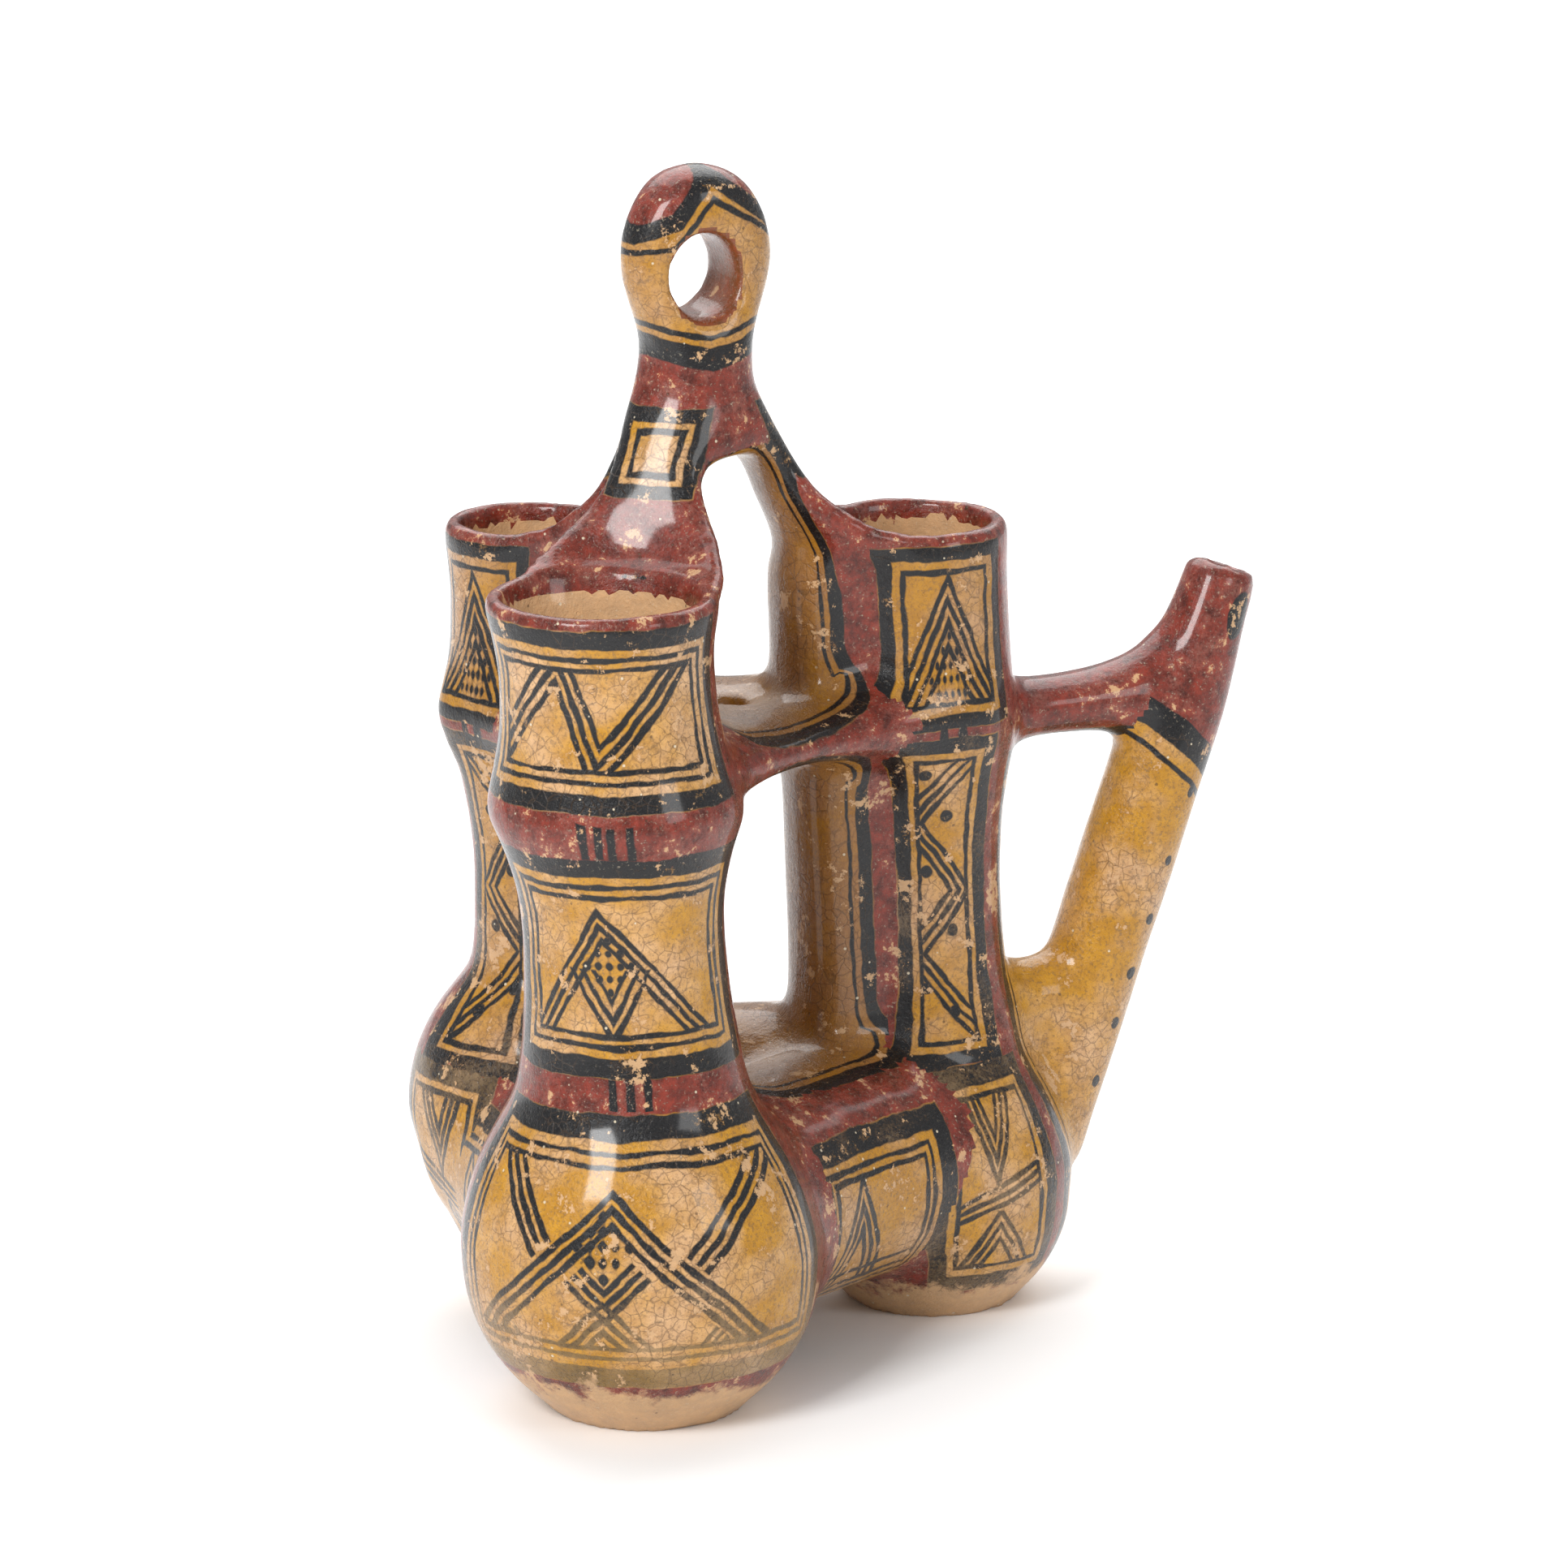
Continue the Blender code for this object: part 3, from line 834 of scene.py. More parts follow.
class Field:
    """A number that varies over the surface, held as a node's socket.

    It works as numbers do, so a formula for a painted shape reads as a sum.
    """

    def __init__(self, tree: bpy.types.NodeTree, socket: bpy.types.NodeSocket) -> None:
        """Hold the tree and the socket."""
        self.tree = tree
        self.socket = socket

    def by(self, operation: str, *others: "Number", clamp: bool = False) -> "Field":
        """Work this number with others.

        Args:
            operation: one of Blender's math operations.
            others: the other numbers.
            clamp: keep the result between 0 and 1.

        Returns:
            The result.
        """
        node = add_node(self.tree, "ShaderNodeMath", {"operation": operation, "use_clamp": clamp},
                        dict(enumerate((self, *others))))
        return Field(self.tree, node.outputs[0])

    def __add__(self, other: "Number") -> "Field":
        """Add."""
        return self.by("ADD", other)

    def __sub__(self, other: "Number") -> "Field":
        """Subtract."""
        return self.by("SUBTRACT", other)

    def __mul__(self, other: "Number") -> "Field":
        """Multiply."""
        return self.by("MULTIPLY", other)

    def __neg__(self) -> "Field":
        """Turn the sign."""
        return self.by("MULTIPLY", -1.0)

    def size(self) -> "Field":
        """Drop the sign."""
        return self.by("ABSOLUTE")

    def least(self, other: "Number") -> "Field":
        """Take the smaller, which joins two painted shapes."""
        return self.by("MINIMUM", other)

    def most(self, other: "Number") -> "Field":
        """Take the larger, which keeps only where two shapes overlap."""
        return self.by("MAXIMUM", other)

    def cover(self, softness: float) -> "Field":
        """Turn a distance to a shape's edge, negative inside, into how far paint covers."""
        return self.by("MULTIPLY_ADD", -1.0 / softness, 0.5, clamp=True)

    def rise(self, low: float, high: float) -> "Field":
        """Rise from 0 at low to 1 at high."""
        return self.by("MULTIPLY_ADD", 1.0 / (high - low), -low / (high - low), clamp=True)


Number = Union[Field, float]
Value = Union[Field, bpy.types.NodeSocket, float, tuple]


def add_node(tree: bpy.types.NodeTree, kind: str, settings: Optional[dict] = None,
             inputs: Optional[dict[Union[int, str], Value]] = None) -> bpy.types.Node:
    """Add a node with its settings and links.

    Args:
        tree: the tree that gets the node.
        kind: Blender's name of the node's type.
        settings: values of the node's own properties.
        inputs: for each input, by name or place, a value or the socket to link.

    Returns:
        The node.
    """
    node = tree.nodes.new(kind)
    for name, value in (settings or {}).items():
        setattr(node, name, value)
    for name, value in (inputs or {}).items():
        source = value.socket if isinstance(value, Field) else value
        if isinstance(source, bpy.types.NodeSocket):
            tree.links.new(source, node.inputs[name])
        else:
            node.inputs[name].default_value = source
    return node


@dataclass(frozen=True)
class Chain:
    """Brush lines that run side by side along a row of points.

    A point is degrees round the jar and millimetres above the ground. The lines are centred on the
    row, or all on its right when shift is 1, and bend sharply at each point.
    """

    points: tuple[Point, ...]
    count: int = 3
    gap: float = 2.7
    width: float = 1.6
    shift: float = 0.0
    low: float = LOWEST
    high: float = HIGHEST
    under: tuple[Point, ...] = ()
    under_by: float = 0.0

    def side(self, across: Field, v: Field, per_degree: float) -> Field:
        """Measure how far a place lies to the left of the row.

        Args:
            across: millimetres round the jar.
            v: millimetres above the ground.
            per_degree: millimetres in a degree round the jar.

        Returns:
            The distance, negative on the right.
        """
        places = [(u0 * per_degree, v0) for u0, v0 in self.points]
        steps = [(b[0] - a[0], b[1] - a[1]) for a, b in zip(places, places[1:])]
        side = None
        for index, ((u0, v0), (du, dv)) in enumerate(zip(places, steps)):
            length = math.hypot(du, dv)
            half = across.by("MULTIPLY_ADD", -dv / length, (dv * u0 - du * v0) / length)
            half = v.by("MULTIPLY_ADD", du / length, half)
            if side is None:
                side = half
                continue
            before = steps[index - 1]
            left_turn = before[0] * dv - before[1] * du > 0.0
            side = side.least(half) if left_turn else side.most(half)
        return side

    def ink(self, across: Field, v: Field, per_degree: float) -> Field:
        """Measure the lines.

        Args:
            across: millimetres round the jar.
            v: millimetres above the ground.
            per_degree: millimetres in a degree round the jar.

        Returns:
            The distance to the lines' edges, negative inside.
        """
        side = self.side(across, v, per_degree)
        reach = (self.count - 1) / 2.0
        first = -self.shift * reach - reach
        step = (side * (1.0 / self.gap) - first).by("ROUND")
        step = step.by("MAXIMUM", 0.0).by("MINIMUM", float(self.count - 1))
        line = (side - (step + first) * self.gap).size() - self.width / 2.0
        if self.low > LOWEST:
            line = line.most(-(v - self.low))
        if self.high < HIGHEST:
            line = line.most(v - self.high)
        if self.under:
            line = line.most(Chain(self.under).side(across, v, per_degree) + self.under_by)
        return line


@dataclass(frozen=True)
class Checks:
    """Lozenge of black and bare checks, pointing up."""

    centre: Point
    half_width: float
    half_height: float
    cells: float = 3.0

    def ink(self, across: Field, v: Field, per_degree: float) -> Field:
        """Measure the checks.

        Args:
            across: millimetres round the jar.
            v: millimetres above the ground.
            per_degree: millimetres in a degree round the jar.

        Returns:
            The distance to their edge, negative inside.
        """
        x = (across - self.centre[0] * per_degree) * (0.5 / self.half_width)
        y = (v - self.centre[1]) * (0.5 / self.half_height)
        down, up = x + y, x - y
        turns = (down * self.cells).by("PINGPONG", 1.0) - 0.5
        other = (up * self.cells).by("PINGPONG", 1.0) - 0.5
        odd = turns * other * (-4.0 * self.half_width / self.cells)
        return odd.most((down.size().most(up.size()) - 0.5) * (2.0 * self.half_width))


@dataclass(frozen=True)
class Dots:
    """Round black dots."""

    points: tuple[Point, ...]
    radius: float = 2.1

    def ink(self, across: Field, v: Field, per_degree: float) -> Field:
        """Measure the dots.

        Args:
            across: millimetres round the jar.
            v: millimetres above the ground.
            per_degree: millimetres in a degree round the jar.

        Returns:
            The distance to their edge, negative inside.
        """
        shape = None
        for u0, v0 in self.points:
            du, dv = across - u0 * per_degree, v - v0
            dot = (du * du).by("MULTIPLY_ADD", 1.0, dv * dv).by("SQRT") - self.radius
            shape = dot if shape is None else shape.least(dot)
        return shape


@dataclass(frozen=True)
class Strokes:
    """Short upright strokes across a red band."""

    places: tuple[float, ...]
    low: float
    high: float
    width: float = 2.2

    def ink(self, across: Field, v: Field, per_degree: float) -> Field:
        """Measure the strokes.

        Args:
            across: millimetres round the jar.
            v: millimetres above the ground.
            per_degree: millimetres in a degree round the jar.

        Returns:
            The distance to their edge, negative inside.
        """
        shape = None
        for place in self.places:
            bar = (across - place * per_degree).size() - self.width / 2.0
            shape = bar if shape is None else shape.least(bar)
        tall = (v - (self.low + self.high) / 2.0).size() - (self.high - self.low) / 2.0
        return shape.most(tall)


Motif = Union[Chain, Checks, Dots, Strokes]


@dataclass(frozen=True)
class Panel:
    """One painted field: a thick black border on red slip, thin lines inside it, and its motifs.

    Left, right are degrees round the jar and low, high millimetres: the outer edge of the border.
    """

    per_degree: float
    left: float
    right: float
    low: float
    high: float
    border: float = 5.5
    line_gap: float = 3.2
    line_width: float = 1.6
    lines: int = 2
    thin_paint: float = 0.0
    motifs: tuple[Motif, ...] = ()
    bands: tuple[Point, ...] = ()
    worn_below: float = LOWEST

    def paint(self, u: Field, v: Field) -> tuple[Field, Field]:
        """Lay out the panel.

        Args:
            u: degrees round the jar.
            v: millimetres above the ground.

        Returns:
            Distance to the ochre field's edge and to the black paint's edge, negative inside.
        """
        across = u * self.per_degree
        middle = (self.left + self.right) / 2.0 * self.per_degree
        half = (self.right - self.left) / 2.0 * self.per_degree
        edge_u = (across - middle).size() - half
        edge_v = (v - (self.low + self.high) / 2.0).size() - (self.high - self.low) / 2.0
        edge = edge_u.most(edge_v)
        black = (edge + self.border / 2.0).size() - self.border / 2.0
        inner = self.border + self.line_gap * self.lines
        if self.lines:
            step = ((edge + self.border) * (1.0 / self.line_gap)).by("ROUND")
            step = step.by("MAXIMUM", -float(self.lines)).by("MINIMUM", -1.0)
            line = (edge + self.border - step * self.line_gap).size() - self.line_width / 2.0
            black = black.least(line)
        inside = edge + inner
        for motif in self.motifs:
            shape = motif.ink(across, v, self.per_degree)
            black = black.least(shape if isinstance(motif, Strokes) else shape.most(inside))
        for low, high in self.bands:
            band = (v - (low + high) / 2.0).size() - (high - low) / 2.0
            black = black.least(band)
        return edge, black


@dataclass(frozen=True)
class SpoutPaint:
    """Red tip, a black band under the bridge with a thin line, and a cream tube with a row of dots.

    Degrees run round the spout from the camera's side, millimetres along it from its foot.
    """

    per_degree: float = 0.265
    thin_paint: float = 0.1
    band_low: float = 134.5
    band_high: float = 143.5
    line_height: float = 129.0
    line_width: float = 2.0
    slant: float = -0.10
    dot_turn: float = 52.0
    dots: tuple[float, ...] = (11.0, 28.0, 47.0, 63.0, 81.0, 100.0, 122.0)
    dot_radius: float = 1.9
    smudge: Point = (48.0, 178.0)
    smudge_radius: float = 5.5
    smudge_squash: float = 0.5

    def paint(self, u: Field, v: Field) -> tuple[Field, Field]:
        """Lay out the spout.

        Args:
            u: degrees round the spout from the camera's side.
            v: millimetres along it.

        Returns:
            Distance to the ochre field's edge and to the black paint's edge, negative inside.
        """
        tilted = v - u * self.slant
        edge = tilted - (self.band_low + self.band_high) / 2.0
        black = edge.size() - (self.band_high - self.band_low) / 2.0
        black = black.least((tilted - self.line_height).size() - self.line_width / 2.0)
        across = u * self.per_degree
        for place in self.dots:
            du, dv = across - self.dot_turn * self.per_degree, v - place
            black = black.least((du * du + dv * dv).by("SQRT") - self.dot_radius)
        du, dv = across - self.smudge[0] * self.per_degree, v - self.smudge[1]
        reach = (du * du + dv * dv * self.smudge_squash).by("SQRT")
        black = black.least(reach - self.smudge_radius)
        return edge, black


@dataclass(frozen=True)
class RingPaint:
    """Ochre face of the ring under a black peaked line, with a black band round its neck.

    Both coordinates are millimetres: across the ring, and above the ground.
    """

    per_degree: float = 1.0
    thin_paint: float = 0.0
    peak: Chain = Chain(
        ((-27.0, 338.0), (-13.5, 343.5), (-3.0, 356.5), (20.0, 340.5)), count=1, width=5.0)
    peak_line: Chain = Chain(
        ((-27.0, 333.5), (-14.0, 335.5), (-2.0, 349.5), (20.0, 336.5)), count=1, width=1.9)
    low_line: Chain = Chain(((-22.0, 312.5), (-4.5, 308.5), (16.0, 313.5)), count=1, width=1.8)
    neck_band: Chain = Chain(((-22.0, 306.5), (-4.5, 302.0), (16.0, 307.5)), count=1, width=6.8)

    def paint(self, u: Field, v: Field) -> tuple[Field, Field]:
        """Lay out the ring.

        Args:
            u: millimetres across the ring.
            v: millimetres above the ground.

        Returns:
            Distance to the ochre field's edge and to the black paint's edge, negative inside.
        """
        edge = self.peak.side(u, v, 1.0).most(-self.neck_band.side(u, v, 1.0))
        black = self.peak.ink(u, v, 1.0)
        for line in (self.peak_line, self.low_line, self.neck_band):
            black = black.least(line.ink(u, v, 1.0))
        return edge, black


@dataclass(frozen=True)
class EdgePaint:
    """Ochre or cream field behind an edge: a thick black border, and a thin line inside it.

    The first coordinate is millimetres inside the edge, the second height. A field may end at a
    top, with the same border.
    """

    border: float
    line_width: float
    top: float = HIGHEST
    line_place: float = 7.4
    thin_paint: float = 0.0
    per_degree: float = 1.0

    def paint(self, u: Field, v: Field) -> tuple[Field, Field]:
        """Lay out the field.

        Args:
            u: millimetres inside the edge.
            v: millimetres above the ground.

        Returns:
            Distance to the ochre field's edge and to the black paint's edge, negative inside.
        """
        edge = -u if self.top == HIGHEST else (-u).most(v - self.top)
        black = (edge + self.border / 2.0).size() - self.border / 2.0
        black = black.least((edge + self.line_place).size() - self.line_width / 2.0)
        return edge, black


GAP_PAINT = EdgePaint(border=4.6, line_width=1.4)
SPOUT_SIDE_PAINT = EdgePaint(border=4.4, line_width=1.5, top=174.0, thin_paint=0.1)
PaintPlan = Union[Panel, SpoutPaint, RingPaint, EdgePaint]


@dataclass(frozen=True)
class Clouds:
    """Cloudy unevenness of one size: millimetres across, fineness, roughness, and its own place."""

    size: float
    detail: float
    roughness: float
    shift: float


@dataclass(frozen=True)
class Share:
    """Where a coat shows: from nothing at low to its full strength at high."""

    low: float
    high: float
    strength: float = 1.0

    def of(self, field: Field) -> Field:
        """Tell how far the coat shows where the field has a value."""
        return field.rise(self.low, self.high) * self.strength


@dataclass(frozen=True)
class AgedSlip:
    """Iron-oxide, ochre and soot-black slips on low-fired earthenware, under copal resin.

    Slip is liquid clay, brushed on and rubbed with a stone. It soaks in, so each colour is cloudy
    and worn through to pink and buff. The resin was melted over the hot pot: it gives a warm,
    uneven gloss, has yellowed where it pooled, and holds pale dust in fine crazing. The grain is
    drawn at 1.1 mm, coarser than the real clay's, so that it shows.
    """

    red: str = "#883222"
    dark_red: str = "#4a190f"
    worn_red: str = "#b0695a"
    ochre: str = "#c08a22"
    cream: str = "#d6ab7c"
    # Amber resin tone: real in its mottles and worn patches; where it pools in the gaps and the
    # ring's hole it is also painted shade.
    amber_and_shade: str = "#7a4a1a"
    black: str = "#0f0e10"
    olive: str = "#55523a"
    clay: str = "#b3926f"
    dust: str = "#d9cbb0"
    crack: str = "#46321f"
    clouds: Clouds = Clouds(22.0, 3.0, 0.6, 0.0)
    mottle: Clouds = Clouds(5.0, 4.0, 0.7, 0.31)
    grain: Clouds = Clouds(1.1, 3.0, 0.7, 0.62)
    wear: Clouds = Clouds(12.0, 6.0, 0.75, 0.93)
    fresh_red: Share = Share(0.35, 0.65)
    rubbed_red: Share = Share(0.66, 0.86, 0.55)
    rubbed_grain: float = 0.35
    dark_grain: Share = Share(0.50, 0.66, 0.5)
    cream_clouds: Share = Share(0.42, 0.66)
    amber_mottle: Share = Share(0.35, 0.70, 0.40)
    amber_wear: Share = Share(0.50, 0.72, 0.5)
    # Cloudy pools of amber, darkest in the gaps and the ring's hole, where they are partly painted
    # shade.
    amber_pools_and_shade: Share = Share(0.25, 0.75, 0.5)
    thin_clouds: float = 1.2
    thin_grain: float = 0.9
    olive_ink: Share = Share(0.45, 1.0)
    faint_ink: Share = Share(0.35, 1.1, 0.6)
    shed_ink: Share = Share(0.80, 0.90, 0.75)
    chips: Share = Share(0.80, 0.83, 0.85)
    break_wear: float = 0.9
    break_edge: float = 0.5
    fresh_clay: Share = Share(0.2, 0.8)
    worn_foot: Share = Share(28.0, 6.0, 0.66)
    foot_raggedness: float = 26.0
    bare_gain: float = 1.6
    bare_raggedness: float = 1.4
    bare_clay: Share = Share(0.55, 0.75)
    crack_size: float = 3.8
    crack_bend: float = 0.002
    crack_bend_size: float = 5.0
    crack_width: Share = Share(0.06, 0.0)
    crack_clouds: Share = Share(0.44, 0.56)
    crack_strength: float = 0.5
    pit_size: float = 4.0
    pit_width: Share = Share(0.13, 0.09)
    dusty_pits: Share = Share(0.84, 0.86, 0.8)
    dark_pits: Share = Share(0.24, 0.22, 0.6)
    dusty_grain: Share = Share(0.60, 0.70, 0.35)
    dust_on_ochre: float = 0.2
    gloss: float = 0.05
    grain_roughness: float = 0.50
    mottle_roughness: float = 0.25
    bare_roughness: float = 0.35
    grain_relief: float = 0.28
    mottle_relief: float = 0.60
    clouds_relief: float = 0.8
    crack_relief: float = 0.10
    pit_relief: float = 0.15
    relief_strength: float = 0.75
    relief_distance: float = 0.0015
    ior: float = 1.52
    specular: float = 0.25
    resin: float = 0.45
    resin_roughness: float = 0.11
    sway_size: float = 16.0
    sway_detail: float = 3.0
    sway_roughness: float = 0.65
    sway: float = 3.0
    swell: float = 1.6
    ground_softness: float = 0.5
    ink_softness: float = 0.45
    worn_fade: float = 30.0
    worn_olive: float = 0.75

    @staticmethod
    def coated(tree: bpy.types.NodeTree, base: Value,
               coats: Sequence[tuple[Number, Value]]) -> bpy.types.NodeSocket:
        """Lay coats over a base colour, one after another.

        Args:
            tree: the tree that gets the nodes.
            base: the colour underneath.
            coats: for each coat how far it covers, and its colour.

        Returns:
            The colour's socket.
        """
        colour = base
        for cover, coat in coats:
            node = add_node(tree, "ShaderNodeMix", {"data_type": "RGBA"},
                            {"Factor": cover, "A": colour, "B": coat})
            colour = node.outputs["Result"]
        return colour

    def group(self) -> bpy.types.NodeTree:
        """Build the shared group that turns painted masks into colour, roughness and relief.

        Returns:
            The group's tree.
        """
        tree = bpy.data.node_groups.new("aged_slip", "ShaderNodeTree")
        names = ("Ground", "Black", "Clay", "Thin", "AmberAndShade")
        for name in names:
            tree.interface.new_socket(name, in_out="INPUT", socket_type="NodeSocketFloat")
        for name, kind in (("Color", "Color"), ("Roughness", "Float"), ("Normal", "Vector")):
            tree.interface.new_socket(name, in_out="OUTPUT", socket_type="NodeSocket" + kind)
        given = add_node(tree, "NodeGroupInput").outputs
        ground, ink, bare, thin, amber_and_shade = (Field(tree, given[name]) for name in names)
        spot = add_node(tree, "ShaderNodeTexCoord").outputs["Object"]
        fields = []
        for kind in (self.clouds, self.mottle, self.grain, self.wear):
            moved = add_node(tree, "ShaderNodeVectorMath", {"operation": "ADD"},
                             {0: spot, 1: (kind.shift, -kind.shift, kind.shift / 2.0)})
            node = add_node(tree, "ShaderNodeTexNoise", {},
                            {"Vector": moved.outputs[0], "Scale": 1.0 / (kind.size * MM),
                             "Detail": kind.detail, "Roughness": kind.roughness})
            fields.append(Field(tree, node.outputs[0]))
        clouds, mottle, grain, wear = fields
        height = add_node(tree, "ShaderNodeSeparateXYZ", {}, {0: spot}).outputs["Z"]
        crack, pit, chance = self.crazing(tree, spot)
        crack = crack * self.crack_clouds.of(clouds) * ground

        worn = wear * self.break_wear
        rubbed = wear + grain * self.rubbed_grain
        # Resin pooled darker on the ochre; in the gaps and the ring's hole this is also painted
        # shade.
        pools_and_shade = amber_and_shade * (self.amber_pools_and_shade.of(clouds) + 0.5)
        thin = thin + (clouds - 0.5) * self.thin_clouds + (grain - 0.5) * self.thin_grain
        kept = -self.shed_ink.of(worn + grain * self.break_edge) + 1.0
        full = -self.faint_ink.of(thin) + 1.0
        foot = Field(tree, height) * (1.0 / MM) + (clouds - 0.5) * self.foot_raggedness
        ragged = (wear - 0.5) * self.bare_raggedness
        bare = self.bare_clay.of(bare.most(self.worn_foot.of(foot)) * self.bare_gain + ragged)
        dusty = self.dusty_grain.of(grain) * (ground * (self.dust_on_ochre - 1.0) + 1.0)

        red = self.coated(tree, linear(self.dark_red), (
            (self.fresh_red.of(mottle), linear(self.red)),
            (self.rubbed_red.of(rubbed), linear(self.worn_red)),
            (self.dark_grain.of(grain), linear(self.dark_red))))
        ochre = self.coated(tree, linear(self.ochre), (
            (self.cream_clouds.of(clouds), linear(self.cream)),
            (self.amber_mottle.of(mottle), linear(self.amber_and_shade)),
            (self.amber_wear.of(wear), linear(self.amber_and_shade)),
            (self.dark_grain.of(grain), linear(self.crack)),
            (pools_and_shade, linear(self.amber_and_shade))))
        black = self.coated(tree, linear(self.black), (
            (self.olive_ink.of(thin), linear(self.olive)),))
        clay = self.coated(tree, linear(self.clay), (
            (self.fresh_clay.of(mottle), linear(self.cream)),))
        colour = self.coated(tree, red, (
            (ground, ochre),
            (ink * kept * full, black),
            (bare, clay),
            (crack * self.crack_strength, linear(self.crack)),
            (pit * self.dusty_pits.of(chance), linear(self.dust)),
            (pit * self.dark_pits.of(chance), linear(self.crack)),
            (self.chips.of(worn + mottle * self.break_edge), clay),
            (dusty, linear(self.dust))))
        rough = (grain * self.grain_roughness + mottle * self.mottle_roughness
                 + bare * self.bare_roughness - self.gloss)
        relief = (grain * self.grain_relief + mottle * self.mottle_relief
                  + clouds * self.clouds_relief - crack * self.crack_relief
                  - pit * self.pit_relief)
        bump = add_node(tree, "ShaderNodeBump", {},
                        {"Strength": self.relief_strength, "Distance": self.relief_distance,
                         "Height": relief})
        add_node(tree, "NodeGroupOutput", {},
                 {"Color": colour, "Roughness": rough, "Normal": bump.outputs["Normal"]})
        return tree

    def crazing(self, tree: bpy.types.NodeTree,
                spot: bpy.types.NodeSocket) -> tuple[Field, Field, Field]:
        """Lay the resin's fine cracks, and scattered pits.

        Args:
            tree: the tree that gets the nodes.
            spot: the place on the object.

        Returns:
            How far a crack shows, how far a pit shows, and each pit's own chance number.
        """
        bend = add_node(tree, "ShaderNodeTexNoise", {},
                        {"Vector": spot, "Scale": 1.0 / (self.crack_bend_size * MM)})
        bent = add_node(tree, "ShaderNodeVectorMath", {"operation": "MULTIPLY_ADD"},
                        {0: bend.outputs[1], 1: (self.crack_bend,) * 3, 2: spot})
        cells = add_node(tree, "ShaderNodeTexVoronoi", {"feature": "DISTANCE_TO_EDGE"},
                         {"Vector": bent.outputs[0], "Scale": 1.0 / (self.crack_size * MM)})
        pits = add_node(tree, "ShaderNodeTexVoronoi", {},
                        {"Vector": spot, "Scale": 1.0 / (self.pit_size * MM)})
        chance = add_node(tree, "ShaderNodeSeparateColor", {}, {0: pits.outputs["Color"]})
        return (self.crack_width.of(Field(tree, cells.outputs["Distance"])),
                self.pit_width.of(Field(tree, pits.outputs["Distance"])),
                Field(tree, chance.outputs[0]))

    def material(self, name: str, group: bpy.types.NodeTree, plan: Optional[PaintPlan] = None,
                 amber_and_shade: float = 0.0, bare: float = 0.0, ground: float = 0.0) -> bpy.types.Material:
        """Build one painted material.

        Args:
            name: name of the finish.
            group: the shared group.
            plan: what is painted, or none for plain slip.
            amber_and_shade: how dark the resin has pooled on the ochre; in the gaps and the ring's
                hole this darkening is also painted shade.
            bare: how far the clay is bare all over.
            ground: 0 for red slip and 1 for ochre where nothing is painted.

        Returns:
            The material.
        """
        material = bpy.data.materials.new(name)
        material.use_nodes = True
        tree = material.node_tree
        shader = tree.nodes["Principled BSDF"]
        for socket, value in (("IOR", self.ior), ("Specular IOR Level", self.specular),
                              ("Coat Weight", self.resin),
                              ("Coat Roughness", self.resin_roughness)):
            shader.inputs[socket].default_value = value
        inputs = {"Ground": ground, "Black": 0.0, "Clay": bare, "Thin": 0.0, "AmberAndShade": amber_and_shade}
        if plan is not None:
            inputs.update(self.painted(tree, plan))
        finish = add_node(tree, "ShaderNodeGroup", {"node_tree": group}, inputs)
        for socket, output in (("Base Color", "Color"), ("Roughness", "Roughness"),
                               ("Normal", "Normal")):
            tree.links.new(finish.outputs[output], shader.inputs[socket])
        return material

    def painted(self, tree: bpy.types.NodeTree, plan: PaintPlan) -> dict[str, Number]:
        """Paint a plan by hand, with lines that sway and swell a little.

        Args:
            tree: the material's tree.
            plan: what is painted.

        Returns:
            The group's inputs that the paint sets.
        """
        place = add_node(tree, "ShaderNodeUVMap", {"uv_map": "PaintMap"}).outputs[0]
        split = add_node(tree, "ShaderNodeSeparateXYZ", {}, {0: place}).outputs
        spot = add_node(tree, "ShaderNodeTexCoord").outputs["Object"]
        sway = add_node(tree, "ShaderNodeTexNoise", {},
                        {"Vector": spot, "Scale": 1.0 / (self.sway_size * MM),
                         "Detail": self.sway_detail, "Roughness": self.sway_roughness})
        parts = add_node(tree, "ShaderNodeSeparateColor", {}, {0: sway.outputs["Color"]}).outputs
        aside, up, swell = (Field(tree, part) - 0.5 for part in parts)
        u = Field(tree, split[0]) + aside * (self.sway / plan.per_degree)
        v = Field(tree, split[1]) + up * self.sway
        edge, black = plan.paint(u, v)
        thin: Number = plan.thin_paint
        if isinstance(plan, Panel) and plan.worn_below > LOWEST:
            faded = v.rise(plan.worn_below, plan.worn_below - self.worn_fade)
            thin = faded * self.worn_olive + plan.thin_paint
        return {"Ground": edge.cover(self.ground_softness),
                "Black": (black + swell * self.swell).cover(self.ink_softness), "Thin": thin}


class Zone(Enum):
    """Parts of the skin that are painted differently."""

    SLIP = 0
    CLAY = 1
    FRONT_NECK = 2
    FRONT_WAIST = 3
    FRONT_BELLY = 4
    SIDE_NECK = 5
    SIDE_WAIST = 6
    SIDE_BELLY = 7
    INNER = 8
    STRAP = 9
    JOINT = 10
    SPOUT = 11
    RING = 12
    HOLE = 13
    SPOUT_SIDE = 14


class Plan(Enum):
    """Ways to lay the paint's coordinates; the first three have one for each jar or joint."""

    JAR = 0
    STRAP = 3
    JOINT = 6
    SPOUT = 9
    RING = 10
    GAP = 11
    SPOUT_SIDE = 12


@dataclass(frozen=True)
class Row:
    """Stretch of a jar that takes one panel, in millimetres of height and degrees round it."""

    zone: Zone
    low: float
    high: float
    left: float
    right: float


